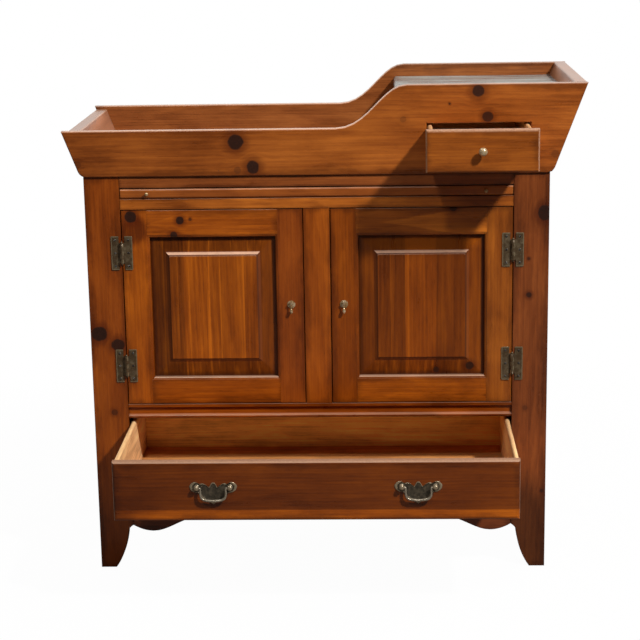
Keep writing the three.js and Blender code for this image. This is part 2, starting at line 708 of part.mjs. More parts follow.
// Raised panel: rectangles drawn in from its edge and lofted from its back to its field
function raisedPanel() {
  const margin = DOOR_FRAME - TONGUE;
  const tongueFront = GROOVE_FRONT + SEAM;
  const bevelEnd = TONGUE + BEVEL_WIDTH;
  const bevelTop = tongueFront - BEVEL_RISE;
  const rings = [
    [0, GROOVE_FRONT + GROOVE_WIDTH - SEAM],
    [0, tongueFront],
    [TONGUE, tongueFront],
    [bevelEnd, bevelTop],
    [bevelEnd + FIELD_SLOPE_WIDTH, bevelTop - FIELD_SLOPE_RISE],
  ];
  const places = [];
  for (const [inset, depth] of rings) {
    const low = margin + inset;
    const right = doorWidth - low;
    const top = doorHeight - low;
    places.push(low, depth, low, right, depth, low, right, depth, top, low, depth, top);
  }
  const last = (rings.length - 1) * 4;
  const corners = [0, 2, 1, 0, 3, 2, last, last + 1, last + 2, last, last + 2, last + 3];
  for (let ring = 0; ring < rings.length - 1; ring += 1) {
    for (let i = 0; i < 4; i += 1) {
      const here = ring * 4 + i;
      const next = ring * 4 + ((i + 1) % 4);
      corners.push(here, next, next + 4, here, next + 4, here + 4);
    }
  }
  const geometry = new THREE.BufferGeometry();
  geometry.setAttribute("position", new THREE.Float32BufferAttribute(places, 3));
  geometry.setIndex(corners);
  return geometry;
}

// Plate of the hinge leaf on the left of the barrel, its neck as tall as the barrel
function leafPlate() {
  const tall = LEAF_HEIGHT / 2;
  const short = BARREL_HEIGHT / 2;
  const corner = LEAF_CORNER;
  const shape = new THREE.Shape();
  shape.moveTo(0, -short);
  shape.lineTo(0, short);
  shape.lineTo(-LEAF_NECK, short);
  shape.lineTo(-LEAF_NECK, tall);
  shape.lineTo(-LEAF_WIDTH + corner, tall);
  shape.quadraticCurveTo(-LEAF_WIDTH, tall, -LEAF_WIDTH, tall - corner);
  shape.lineTo(-LEAF_WIDTH, -tall + corner);
  shape.quadraticCurveTo(-LEAF_WIDTH, -tall, -LEAF_WIDTH + corner, -tall);
  shape.lineTo(-LEAF_NECK, -tall);
  shape.lineTo(-LEAF_NECK, -short);
  return alongY(shape, KNUCKLE_RADIUS - LEAF_THICKNESS, KNUCKLE_RADIUS);
}

// Knuckles of one leaf, grown by a clearance when they are the tool for the other leaf
function knuckles(first, grow) {
  const step = BARREL_HEIGHT / KNUCKLES;
  const found = [];
  for (let i = first; i < KNUCKLES; i += 2) {
    const bottom = -BARREL_HEIGHT / 2 + i * step + KNUCKLE_PLAY / 2 - grow;
    const top = bottom + step - KNUCKLE_PLAY + grow * 2;
    found.push(cylinderAlongZ(KNUCKLE_RADIUS + grow, bottom, top, TURN_STEPS));
  }
  return found;
}

// Leaf on the case, with its odd knuckles, the pin and the pin's two finials
function fixedLeaf() {
  const reach = BARREL_HEIGHT / 2 + FINIAL_RADIUS / 2;
  const pin = cylinderAlongZ(PIN_RADIUS, -reach, reach, SMALL_TURN_STEPS);
  const finials = [-reach, reach].map((height) => {
    const ball = new THREE.SphereGeometry(FINIAL_RADIUS, SMALL_TURN_STEPS, SMALL_TURN_STEPS / 2);
    return ball.rotateX(Math.PI / 2).translate(0, 0, height);
  });
  const plate = cut(leafPlate(), ...knuckles(1, KNUCKLE_PLAY));
  return join(plate, ...knuckles(0, 0), pin, ...finials);
}

// Leaf on the door, with the even knuckles, bored for the pin
function movingLeaf() {
  const plate = cut(mirrored(leafPlate()), ...knuckles(0, KNUCKLE_PLAY));
  const bore = cylinderAlongZ(
    PIN_RADIUS + KNUCKLE_PLAY, -BARREL_HEIGHT / 2 - OVERRUN, BARREL_HEIGHT / 2 + OVERRUN, SMALL_TURN_STEPS,
  );
  return cut(join(plate, ...knuckles(1, 0)), bore);
}

// Fixed part of a drop pull: a rose with a slotted fork that stands out over it
function dropRose() {
  const rose = turnedOut([
    [0, 0], [ROSE_RADIUS, 0], [ROSE_RADIUS, ROSE_THICKNESS / 2], [FORK_RADIUS, ROSE_THICKNESS],
    [0, ROSE_THICKNESS],
  ], TURN_STEPS);
  const fork = turnedOut([
    [0, ROSE_THICKNESS / 2], [FORK_RADIUS, ROSE_THICKNESS / 2], [FORK_RADIUS, FORK_LENGTH], [0, FORK_LENGTH],
  ], SMALL_TURN_STEPS).translate(0, 0, DROP_PIVOT_UP);
  const slotFloor = -DROP_PIVOT_OUT + DROP_TONGUE_DEPTH;
  const slot = box(
    -FORK_SLOT / 2, FORK_SLOT / 2, -FORK_LENGTH - OVERRUN, slotFloor,
    DROP_PIVOT_UP - FORK_RADIUS - OVERRUN, DROP_PIVOT_UP + FORK_RADIUS + OVERRUN,
  );
  const bore = cylinderAlongX(
    DROP_PIN_RADIUS + PIVOT_PLAY, -FORK_RADIUS - OVERRUN, FORK_RADIUS + OVERRUN, SMALL_TURN_STEPS,
  ).translate(0, -DROP_PIVOT_OUT, DROP_PIVOT_UP);
  return cut(join(rose, fork), slot, bore);
}

// Swinging part of a drop pull, hung from its own cross pin at the origin
function dropPendant() {
  const [neck, waist, belly, toe] = DROP_BULB_SHARES;
  const profile = [
    [0, -DROP_LENGTH],
    [DROP_RADIUS * DROP_TOE_SHARE, -DROP_LENGTH * (toe + 1) / 2],
    [DROP_RADIUS, -DROP_LENGTH * toe],
    [DROP_RADIUS, -DROP_LENGTH * belly - DROP_NECK_RADIUS],
    [(DROP_RADIUS + DROP_NECK_RADIUS) / 2, -DROP_LENGTH * (waist + belly) / 2],
    [DROP_NECK_RADIUS, -DROP_LENGTH * waist],
    [DROP_NECK_RADIUS, -DROP_LENGTH * neck],
    [0, -DROP_LENGTH * neck],
  ].map(([radius, height]) => new THREE.Vector2(radius, height));
  const bulb = new THREE.LatheGeometry(profile, SMALL_TURN_STEPS).rotateX(Math.PI / 2);
  const tongue = box(
    -DROP_TONGUE / 2, DROP_TONGUE / 2, -DROP_TONGUE_DEPTH / 2, DROP_TONGUE_DEPTH / 2,
    -DROP_LENGTH * neck - DROP_NECK_RADIUS, DROP_TONGUE_DEPTH / 2,
  );
  const pinEnd = FORK_RADIUS - PIVOT_PLAY;
  const pin = cylinderAlongX(DROP_PIN_RADIUS, -pinEnd, pinEnd, SMALL_TURN_STEPS);
  return join(bulb, tongue, pin);
}

// One door and its two hinges. Side 1 is the left door and side -1 the right one.
function buildDoor(parent, name, side) {
  const edge = -halfOpening + DOOR_GAP;
  const door = group(parent, side * edge, 0, waistTop + DOOR_GAP);
  piece(door, `${name}_door_hinge_stile`, onSide(doorStile(0), side), stainedPine);
  piece(door, `${name}_door_lock_stile`, onSide(farStile(0), side), stainedPine);
  piece(door, `${name}_door_bottom_rail`, onSide(doorRail(), side), stainedPine);
  piece(door, `${name}_door_top_rail`, onSide(upperRail(), side), stainedPine);
  piece(door, `${name}_door_panel`, onSide(raisedPanel(), side), stainedPine);

  const axis = side * (-halfOpening + DOOR_GAP / 2);
  const out = -KNUCKLE_RADIUS - SEAM;
  const levels = [["upper", doorTop - HINGE_FROM_TOP], ["lower", waistTop + HINGE_FROM_BOTTOM]];
  for (const [level, height] of levels) {
    const hinge = group(parent, axis, out, height);
    piece(hinge, `${name}_${level}_hinge_case_leaf`, onSide(fixedLeaf(), side), agedBrass);
    piece(hinge, `${name}_${level}_hinge_door_leaf`, onSide(movingLeaf(), side), agedBrass);
  }

  const pullAcross = side * (edge + doorWidth - DROP_FROM_EDGE);
  const pull = group(parent, pullAcross, -SEAM, DROP_HEIGHT);
  piece(pull, `${name}_drop_rose`, dropRose(), brightBrass);
  const pendant = piece(pull, `${name}_drop_pendant`, dropPendant(), brightBrass);
  pendant.position.set(0, -DROP_PIVOT_OUT, DROP_PIVOT_UP);
}

// Turned knob: a foot, a neck and a domed head
function knob(radius, length, neckRadius) {
  const neckEnd = length * KNOB_NECK_SHARE;
  const rim = neckEnd + radius * KNOB_RIM_SHARE;
  const profile = [[0, 0], [neckRadius, 0], [neckRadius, neckEnd]];
  for (let i = 0; i <= ROUND_STEPS * 2; i += 1) {
    const turn = Math.PI / 2 * (i / (ROUND_STEPS * 2));
    profile.push([radius * Math.cos(turn), rim + (length - rim) * Math.sin(turn)]);
  }
  profile[profile.length - 1][0] = 0;
  return turnedOut(profile, TURN_STEPS);
}

// Pull-out board in its slot over the doors
function buildBoard(parent) {
  const half = halfOpening - BOARD_PLAY;
  const low = boardBottom + SEAM;
  const high = boardTop - BOARD_PLAY;
  const board = group(parent, 0, 0, 0);
  const plank = alongX(boardSection(0, backFront - BOARD_BACK_GAP, low, high, BOARD_EDGE), -half, half);
  piece(board, "pull_out_board", plank, stainedPine);
  for (const [name, side] of [["left", -1], ["right", 1]]) {
    const spot = group(board, side * (halfOpening - BOARD_KNOB_INSET), -SEAM, (low + high) / 2);
    const small = knob(BOARD_KNOB_RADIUS, BOARD_KNOB_LENGTH, BOARD_KNOB_RADIUS / 2);
    piece(spot, `${name}_board_knob`, small, brightBrass);
  }
}

// Sides, back and bottom of a drawer's box. Its depth is measured from the front board's face, and the
// front board's back lies at start. The sides' tops are round, and the bottom slides in their grooves.
function drawerBox(parent, name, { left, right, low, high, start, depth, backDrop }) {
  const radius = DRAWER_SIDE / 2;
  const bottomLow = low + BOTTOM_LIFT;
  const bottomHigh = bottomLow + DRAWER_BOTTOM;
  const grooveFloor = DRAWER_SIDE - BOTTOM_GROOVE;
  const shape = new THREE.Shape();
  shape.moveTo(0, low);
  shape.lineTo(DRAWER_SIDE, low);
  shape.lineTo(DRAWER_SIDE, bottomLow - SEAM);
  shape.lineTo(grooveFloor, bottomLow - SEAM);
  shape.lineTo(grooveFloor, bottomHigh + SEAM);
  shape.lineTo(DRAWER_SIDE, bottomHigh + SEAM);
  shape.lineTo(DRAWER_SIDE, high - radius);
  shape.absarc(radius, high - radius, radius, 0, Math.PI, false);
  const side = alongY(shape, start + SEAM, depth);
  piece(parent, `${name}_left_side`, side.clone().translate(left, 0, 0), palePine);
  piece(parent, `${name}_right_side`, mirrored(side).translate(right, 0, 0), palePine);
  const inner = DRAWER_SIDE + SEAM;
  const back = box(
    left + inner, right - inner, depth - DRAWER_BACK, depth, bottomHigh + SEAM, high - backDrop,
  );
  piece(parent, `${name}_back`, back, palePine);
  const tucked = grooveFloor + SEAM;
  const bottom = box(
    left + tucked, right - tucked, start - BOTTOM_GROOVE + SEAM, depth, bottomLow, bottomHigh,
  );
  piece(parent, `${name}_bottom`, bottom, palePine);
}

// Slot in a front board's back for the front edge of the drawer's bottom
function bottomSlot({ left, right, low, start }) {
  const grooveFloor = DRAWER_SIDE - BOTTOM_GROOVE;
  return box(
    left + grooveFloor, right - grooveFloor, start - BOTTOM_GROOVE, start + OVERRUN,
    low + BOTTOM_LIFT - SEAM, low + BOTTOM_LIFT + DRAWER_BOTTOM + SEAM,
  );
}

// Bat-wing plate with the two round posts that the bail hangs from, its pivots at height 0
function bailPlate() {
  const half = [
    ...WING_TOP_SHARES.map(([across, up]) => [across * PLATE_HALF, up * PLATE_TOP]),
    ...WING_BOTTOM_SHARES.map(([across, down]) => [across * PLATE_HALF, -down * PLATE_BOTTOM]),
  ];
  const otherHalf = half.slice(1, -1).reverse().map(([across, up]) => [-across, up]);
  const plate = alongY(outline([...half, ...otherHalf]), -PLATE_THICKNESS, 0);
  const domeStart = POST_LENGTH - POST_RADIUS / 2;
  const profile = [[0, PLATE_THICKNESS / 2], [POST_RADIUS, PLATE_THICKNESS / 2]];
  for (let i = 0; i <= ROUND_STEPS; i += 1) {
    const turn = Math.PI / 2 * (i / ROUND_STEPS);
    profile.push([POST_RADIUS * Math.cos(turn), domeStart + POST_RADIUS / 2 * Math.sin(turn)]);
  }
  profile[profile.length - 1][0] = 0;
  const posts = [-1, 1].map((side) => (
    turnedOut(profile, TURN_STEPS).translate(side * POST_SPACING / 2, 0, 0)
  ));
  const holeEnd = BAIL_ARM_OUT + BAIL_PIN_REACH + BAIL_RADIUS + PIVOT_PLAY;
  const hole = cylinderAlongX(BAIL_PIN_RADIUS + PIVOT_PLAY, -holeEnd, holeEnd, SMALL_TURN_STEPS);
  return cut(join(plate, ...posts), hole.translate(0, -BAIL_PIVOT_OUT, 0));
}

// Bail: a swelling bar bent down between two arms whose pins turn outward into the posts
function bail() {
  const half = BAIL_RUN_SHARES.map(
    ([across, down]) => new THREE.Vector3(across * BAIL_ARM_OUT, 0, -down * BAIL_DROP),
  );
  const middle = new THREE.Vector3(0, 0, -BAIL_DROP);
  const otherHalf = half.slice().reverse().map((point) => new THREE.Vector3(-point.x, 0, point.z));
  const run = new THREE.CatmullRomCurve3([...half, middle, ...otherHalf], false, "centripetal");
  const places = [];
  for (let i = 0; i <= BAIL_STEPS; i += 1) {
    const along = i / BAIL_STEPS;
    const centre = run.getPointAt(along);
    const forward = run.getTangentAt(along);
    const radius = BAIL_RADIUS + BAIL_SWELL * Math.sin(Math.PI * along) ** 2;
    for (let k = 0; k < BAIL_SIDES; k += 1) {
      const turn = (Math.PI * 2 * k) / BAIL_SIDES;
      const out = radius * Math.cos(turn);
      places.push(centre.x - forward.z * out, radius * Math.sin(turn), centre.z + forward.x * out);
    }
  }
  const corners = [];
  const lastRing = BAIL_STEPS * BAIL_SIDES;
  for (let k = 1; k < BAIL_SIDES - 1; k += 1) {
    corners.push(0, k, k + 1, lastRing, lastRing + k + 1, lastRing + k);
  }
  for (let i = 0; i < BAIL_STEPS; i += 1) {
    for (let k = 0; k < BAIL_SIDES; k += 1) {
      const here = i * BAIL_SIDES + k;
      const next = i * BAIL_SIDES + ((k + 1) % BAIL_SIDES);
      corners.push(here, next + BAIL_SIDES, next, here, here + BAIL_SIDES, next + BAIL_SIDES);
    }
  }
  const bar = new THREE.BufferGeometry();
  bar.setAttribute("position", new THREE.Float32BufferAttribute(places, 3));
  bar.setIndex(corners);
  const ends = [-1, 1].flatMap((side) => {
    const elbow = new THREE.SphereGeometry(BAIL_RADIUS, SMALL_TURN_STEPS, SMALL_TURN_STEPS / 2);
    const reach = [side * BAIL_ARM_OUT, side * (BAIL_ARM_OUT + BAIL_PIN_REACH + BAIL_RADIUS)];
    const pin = cylinderAlongX(BAIL_PIN_RADIUS, Math.min(...reach), Math.max(...reach), SMALL_TURN_STEPS);
    return [elbow.translate(side * BAIL_ARM_OUT, 0, 0), pin];
  });
  return join(bar, ...ends);
}

function buildLongDrawer(parent) {
  const half = halfOpening - DRAWER_SIDE_GAP;
  const low = APRON_TOP + DRAWER_BOTTOM_GAP;
  const high = waistBottom - DRAWER_TOP_GAP;
  const sizes = {
    left: -half + DRAWER_SIDE_INSET,
    right: half - DRAWER_SIDE_INSET,
    low: APRON_TOP + SEAM,
    high: high - DRAWER_SIDE_DROP,
    start: DRAWER_FRONT,
    depth: backFront - DRAWER_BACK_GAP,
    backDrop: DRAWER_BACK_DROP,
  };
  const drawer = group(parent, 0, -DRAWER_PULL, 0);
  const board = facedBoard(rectangle(-half, half, low, high), 0, DRAWER_FRONT, DRAWER_EDGE);
  piece(drawer, "drawer_front", cut(board, bottomSlot(sizes)), stainedPine);
  drawerBox(drawer, "drawer", sizes);
  for (const [name, side] of [["left", -1], ["right", 1]]) {
    const pull = group(drawer, side * (halfOpening - BAIL_INSET), -SEAM, high - BAIL_PIVOT_UNDER_TOP);
    piece(pull, `${name}_bail_plate`, bailPlate(), agedBrass);
    const handle = piece(pull, `${name}_bail`, bail(), agedBrass);
    handle.position.set(0, -BAIL_PIVOT_OUT, 0);
  }
}

// Small drawer: its front has a lip that closes against the tray's front board
function buildSmallDrawer(parent) {
  const closed = -TRAY_PROUD - SEAM - SMALL_LIP_THICKNESS;
  const high = smallBottom + SMALL_HEIGHT - SMALL_SIDE_DROP;
  const sizes = {
    left: smallLeft + BOX_PLAY,
    right: smallRight - BOX_PLAY,
    low: smallBoxBottom,
    high,
    start: SMALL_LIP_THICKNESS + SMALL_BODY_THICKNESS,
    depth: trayInsideBack - SMALL_BACK_GAP - closed,
    backDrop: SMALL_BACK_DROP,
  };
  const drawer = group(parent, 0, closed - SMALL_PULL, 0);
  const lip = facedBoard(
    rectangle(
      smallLeft - SMALL_LIP, smallRight + SMALL_LIP,
      smallBottom - SMALL_LIP, smallBottom + SMALL_HEIGHT + SMALL_LIP,
    ),
    0, SMALL_LIP_THICKNESS, SMALL_FRONT_EDGE,
  );
  const body = box(sizes.left, sizes.right, SMALL_LIP_THICKNESS / 2, sizes.start, sizes.low, high);
  piece(drawer, "small_drawer_front", cut(join(lip, body), bottomSlot(sizes)), stainedPine);
  drawerBox(drawer, "small_drawer", sizes);
  const spot = group(drawer, smallLeft + SMALL_WIDTH / 2, -SEAM, smallBottom + SMALL_HEIGHT / 2);
  piece(spot, "small_drawer_knob", knob(KNOB_RADIUS, KNOB_LENGTH, KNOB_NECK_RADIUS), brightBrass);
}

const cabinet = new THREE.Group();
buildCase(cabinet);
buildTray(cabinet);
buildDoor(cabinet, "left", 1);
buildDoor(cabinet, "right", -1);
buildBoard(cabinet);
buildLongDrawer(cabinet);
buildSmallDrawer(cabinet);

// Stand the whole cabinet, drawers open as they are, over the origin
cabinet.updateMatrixWorld(true);
const extent = new THREE.Box3().setFromObject(cabinet);
const centre = extent.getCenter(new THREE.Vector3());
cabinet.position.set(-centre.x, -centre.y, -extent.min.z);

export default cabinet;
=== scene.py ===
import bmesh
import bpy
import numpy as np
from mathutils import Matrix, Vector


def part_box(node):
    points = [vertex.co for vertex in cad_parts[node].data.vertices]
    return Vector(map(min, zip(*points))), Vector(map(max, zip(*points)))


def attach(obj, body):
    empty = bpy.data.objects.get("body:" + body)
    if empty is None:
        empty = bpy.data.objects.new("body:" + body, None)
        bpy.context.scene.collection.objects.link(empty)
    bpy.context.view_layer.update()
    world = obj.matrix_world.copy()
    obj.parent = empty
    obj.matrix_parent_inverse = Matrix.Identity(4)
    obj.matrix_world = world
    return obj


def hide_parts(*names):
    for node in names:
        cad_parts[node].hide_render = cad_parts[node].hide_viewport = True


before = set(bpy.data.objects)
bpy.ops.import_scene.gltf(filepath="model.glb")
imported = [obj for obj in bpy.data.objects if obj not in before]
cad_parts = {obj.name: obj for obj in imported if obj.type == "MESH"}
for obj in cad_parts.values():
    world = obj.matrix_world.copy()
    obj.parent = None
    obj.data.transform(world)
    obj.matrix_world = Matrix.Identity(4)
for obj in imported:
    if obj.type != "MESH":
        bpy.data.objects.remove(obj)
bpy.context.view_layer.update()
bpy.context.scene.view_settings.view_transform = "Standard"


# The camera stands at eye height in front of the cabinet, a little right of its middle, and looks down
# on it with a long lens. Its place and turn were solved from the cabinet's edges.
CAMERA_PLACE = Vector((0.12835, -4.09061, 1.58828))
CAMERA_YAW = -0.035532
CAMERA_PITCH = 0.238058
CAMERA_ROLL = 0.016398
LENS_LENGTH = 98.12
SENSOR_WIDTH = 36.0

camera_data = bpy.data.cameras.new("camera")
camera_data.lens = LENS_LENGTH
camera_data.sensor_width = SENSOR_WIDTH
camera = bpy.data.objects.new("camera", camera_data)
bpy.context.scene.collection.objects.link(camera)
bpy.context.scene.camera = camera
flat = np.cos(CAMERA_PITCH)
forward = Vector((np.sin(CAMERA_YAW) * flat, np.cos(CAMERA_YAW) * flat, -np.sin(CAMERA_PITCH)))
level_right = Vector((np.cos(CAMERA_YAW), -np.sin(CAMERA_YAW), 0.0))
level_down = forward.cross(level_right)
right = level_right * np.cos(CAMERA_ROLL) + level_down * np.sin(CAMERA_ROLL)
up = level_right * np.sin(CAMERA_ROLL) - level_down * np.cos(CAMERA_ROLL)
turned_camera = Matrix((right, up, -forward)).transposed()
camera.matrix_world = Matrix.Translation(CAMERA_PLACE) @ turned_camera.to_4x4()


# The case's front frame is solid pine, butted and doweled, stained a warm brown and lacquered. Each board
# is cut from its own place in a log, so each gets its own rings, streaks, tone and knots.
class Value:
    """A number that a finish works out. Arithmetic on it adds Math nodes to that finish."""

    def __init__(self, finish, socket):
        self.finish = finish
        self.socket = socket

    def __add__(self, other):
        return self.finish.math("ADD", self, other)

    def __sub__(self, other):
        return self.finish.math("SUBTRACT", self, other)

    def __rsub__(self, other):
        return self.finish.math("SUBTRACT", other, self)

    def __mul__(self, other):
        return self.finish.math("MULTIPLY", self, other)

    def __truediv__(self, other):
        return self.finish.math("DIVIDE", self, other)

    __radd__ = __add__
    __rmul__ = __mul__


class Finish:
    """One material, or the room's own node tree, with a call for each kind of sum that it needs."""

    def __init__(self, name, tree=None):
        if tree is None:
            self.material = bpy.data.materials.new(name)
            self.material.use_nodes = True
            tree = self.material.node_tree
            self.shader = tree.nodes["Principled BSDF"]
        self.tree = tree

    def node(self, kind, inputs, output=0, stops=None, **settings):
        """Adds a node of that kind, makes its settings, feeds its sockets and gives one of its outputs."""
        made = self.tree.nodes.new("ShaderNode" + kind)
        for setting, value in settings.items():
            setattr(made, setting, value)
        if stops:
            ramp = made.color_ramp
            while len(ramp.elements) < len(stops):
                ramp.elements.new(1.0)
            for element, (place, tone) in zip(ramp.elements, stops):
                element.position = place
                element.color = tone
        for socket, value in inputs.items():
            self.feed(made.inputs[socket], value)
        return Value(self, made.outputs[output])

    def feed(self, socket, value):
        """Links a worked-out value to the socket, or sets a plain one on it."""
        if isinstance(value, Value):
            self.tree.links.new(value.socket, socket)
        else:
            socket.default_value = value

    def math(self, operation, first, second=0.0, third=0.0):
        return self.node("Math", {0: first, 1: second, 2: third}, operation=operation)

    def smooth(self, value, low, high):
        """0 where the value is at low, 1 at high, with an eased ramp between. Low may be the larger."""
        inputs = {"Value": value, "From Min": low, "From Max": high}
        return self.node("MapRange", inputs, interpolation_type="SMOOTHSTEP", clamp=True)

    def noise(self, place, scale, detail, rough=0.5):
        inputs = {"Vector": place, "Scale": scale, "Detail": detail, "Roughness": rough}
        return self.node("TexNoise", inputs)

    def stretched(self, place, scales, shift):
        return self.node("Mapping", {"Vector": place, "Scale": scales, "Location": shift})

    def blend(self, amount, first, second, kind="MIX"):
        inputs = {0: amount, 6: first, 7: second}
        return self.node("Mix", inputs, output=2, data_type="RGBA", blend_type=kind)

    def object_place(self):
        """The point's place on the cabinet."""
        return self.node("TexCoord", {}, output=3)

    def coordinates(self, place):
        return [self.node("SeparateXYZ", {0: place}, output=i) for i in range(3)]

    def together(self, along, across, deep):
        return self.node("CombineXYZ", {0: along, 1: across, 2: deep})

    def surface(self, **sockets):
        """Feeds the shader's sockets, named with underscores for their blanks."""
        for name, value in sockets.items():
            self.feed(self.shader.inputs[name.replace("_", " ")], value)

    def bump(self, height, depth):
        bumped = self.node("Bump", {"Height": height, "Distance": depth, "Strength": 1.0})
        self.feed(self.shader.inputs["Normal"], bumped)


def colour(red, green, blue):
    """A colour as seen on a screen, from 0 to 255, to the linear one that a shader takes."""
    shares = np.array([red, green, blue]) / 255.0
    linear = np.where(shares < 0.04045, shares / 12.92, ((shares + 0.055) / 1.055) ** 2.4)
    return (*linear, 1.0)


def shade(tone, amount, warmth):
    """The same colour lighter or darker; warmth under 1 takes green and blue down further."""
    red, green, blue, alpha = tone
    return (red * amount, green * amount * warmth, blue * amount * warmth, alpha)


# Spots to a metre along and across the grain, for each noise that a board's marks come from.
SWAY_SPOTS = (1.1, 5.0)
BLOTCH_SPOTS = (6.0, 17.0)
STREAK_SPOTS = (1.7, 38.0)
LINE_SPOTS = (6.0, 260.0)
BRIGHT_LINE_SPOTS = (0.9, 110.0)
PORE_SPOTS = (50.0, 900.0)
GRIT_SPOTS = 260.0
DENT_SPOTS = 21.0
# How far blotches, sway, growth lines and pores change the wood's lightness.
BLOTCH_SHARE = 0.95
SWAY_SHARE = 0.4
LINE_SHARE = 0.5
PORE_SHARE = 0.16
# What the wood's tone turns to, as (lightness, share of the tone, share of its green and blue).
WOOD_TONES = [(0.0, 0.36, 0.8), (0.25, 0.64, 0.92), (0.5, 1.0, 1.0), (1.0, 1.75, 1.15)]
# A log's pith lies up to this share of the board's width beside its middle. How far it lies behind the
# board, how it leans along it and how wide a year's ring is are drawn between these, and sway shifts it.
PITH_ASIDE = 0.3
PITH_BEHIND = (0.03, 0.075)
PITH_LEAN = (0.02, 0.05)
YEAR_WIDTH = (0.006, 0.011)
SWAY_ASIDE = 0.07
SWAY_BEHIND = 0.03
# A year's ring darkens between the first two of these shares of it and pales between the last two.
LATE_FROM = 0.1
LATE_FULL = 0.8
LATE_END = 1.0
# A knot's heart, its stained halo and its push on the lines round it fade between these, in radii.
HEART_FADE = (1.04, 0.8)
HALO_FADE = (2.3, 0.9)
PUSH_FADE = (3.2, 0.4)
KNOT_PUSH = 0.85
KNOT_RAGGED = 1.3
# Cells whose random value is above these have a dent, and its edge fades out between these distances.
DENTED_CELLS = (0.8, 0.83)
DENT_FADE = (0.045, 0.025)
GLAZE_REACH = 0.003
SOIL_REACH = 0.02
SOIL_WIDTH_SHARE = 0.25
EDGE_RAGGED = 0.004
UPWARD_FADE = (0.25, 0.45)
RELIEF_DEPTH = 0.0003
SPECULAR = 0.4
BLACK = (0.0, 0.0, 0.0, 1.0)
# Painted highlight: the pale that upward faces are painted towards, as if lit from above.
PAINTED_TOP_HIGHLIGHT = colour(226, 176, 142)
KNOT_HEART = colour(18, 8, 5)
KNOT_SPECKS = colour(56, 28, 17)
# Dark marks, as (share of the board's tone, share of its green and blue).
GLAZE_TONE = (0.12, 0.6)
DENT_TONE = (0.1, 0.6)
HALO_TONE = (0.3, 0.6)


class Board(Finish):
    """The finish of one board. It holds the point's place along, across and into the board, the board's low
    and high ends of these, its distances from the edges, and the noises that its marks share: sway bends
    lines slowly, ragged breaks up outlines, and grit is fine dirt."""

    def __init__(self, node, axes, seed):
        super().__init__(node + "_pine")
        order = ["xyz".index(axis) for axis in axes]
        parts = self.coordinates(self.object_place())
        self.along, self.across, self.deep = [parts[i] for i in order]
        low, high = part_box(node)
        self.low, self.high = [low[i] for i in order], [high[i] for i in order]
        self.random = np.random.default_rng(seed)
        self.shift = self.random.uniform(-9.0, 9.0, 3)
        self.solid = self.together(self.along, self.across, self.deep)
        self.flat = self.together(self.along, self.across, 0.0)
        self.sway = self.drawn(SWAY_SPOTS, 2.0) - 0.5
        self.blotch = self.drawn(BLOTCH_SPOTS, 5.0, 0.62, moved=3.0)
        self.ragged = self.blotch - 0.5
        self.grit = self.noise(self.solid, GRIT_SPOTS, 2.0)
        self.from_ends = self.math("MINIMUM", self.along - self.low[0], self.high[0] - self.along)
        from_sides = self.math("MINIMUM", self.across - self.low[1], self.high[1] - self.across)
        self.from_edge = self.math("MINIMUM", self.from_ends, from_sides)

    def drawn(self, spots, detail, rough=0.5, moved=0.0):
        """Noise drawn out along the grain, with that many spots to a metre along and across it."""
        scales = (spots[0], spots[1], spots[1])
        return self.noise(self.stretched(self.solid, scales, self.shift + moved), 1.0, detail, rough)


def round_knots(board, knots):
    """The place across the board with its lines pushed aside by the knots, and how far each point is a
    knot's dark heart, and the stained halo round it."""
    bent = board.across
    hearts = 0.0
    halos = 0.0
    for centre, height, radius, dark in knots:
        away = board.node("VectorMath", {0: board.flat, 1: (centre, height, 0.0)}, 1, operation="DISTANCE")
        outline = board.math("MULTIPLY_ADD", board.ragged, radius * KNOT_RAGGED, away)
        heart, halo, push = [
            board.smooth(distance, radius * far, radius * near)
            for distance, (far, near) in [(outline, HEART_FADE), (outline, HALO_FADE), (away, PUSH_FADE)]
        ]
        hearts = board.math("MAXIMUM", heart * dark, hearts)
        halos = board.math("MAXIMUM", halo * dark, halos)
        bent = board.math("MULTIPLY_ADD", (board.across - height) * push, -KNOT_PUSH, bent)
    return bent, hearts, halos


def late_wood(board, bent):
    """How far each point is the dark wood of a year's end. Its distance from the pith, which lies behind
    the board and leans along it, is counted in years; a year darkens slowly and ends sharply."""
    low, high, random = board.low, board.high, board.random
    pith_across = (low[1] + high[1]) / 2 + random.uniform(-PITH_ASIDE, PITH_ASIDE) * (high[1] - low[1])
    pith_deep = high[2] + random.uniform(*PITH_BEHIND)
    lean = random.choice([-1, 1]) * random.uniform(*PITH_LEAN)
    aside = bent - pith_across + board.sway * SWAY_ASIDE
    pith_at_low = pith_deep - lean * (low[0] + high[0]) / 2
    behind = board.along * lean - board.deep + pith_at_low + board.sway * SWAY_BEHIND
    years = board.math("SQRT", aside * aside + behind * behind) / random.uniform(*YEAR_WIDTH)
    year = board.math("FRACT", years + board.blotch * 1.1)
    return board.smooth(year, LATE_FROM, LATE_FULL) - board.smooth(year, LATE_FULL, LATE_END)


def soft_oval(board, centre, height, long, wide):
    """1 inside an oval of that half length and half width, falling off raggedly to 0 round it."""
    scales = (1.0 / long, 1.0 / wide, 1.0)
    aim = board.stretched(board.flat, scales, (-centre / long, -height / wide, 0.0))
    away = board.node("VectorMath", {0: aim}, 1, operation="LENGTH") + board.ragged * 0.9
    return board.smooth(away, 1.0, 0.5)


def small_dents(board):
    """Small dents at the middles of about one in five cells of a cell pattern."""
    cells = {"Vector": board.flat, "Scale": DENT_SPOTS}
    away = board.node("TexVoronoi", cells, feature="F1")
    pick = board.node("TexVoronoi", cells, output=1, feature="F1")
    chosen = board.smooth(board.node("SeparateXYZ", {0: pick}), *DENTED_CELLS)
    return board.smooth(away + board.grit * 0.02, *DENT_FADE) * chosen


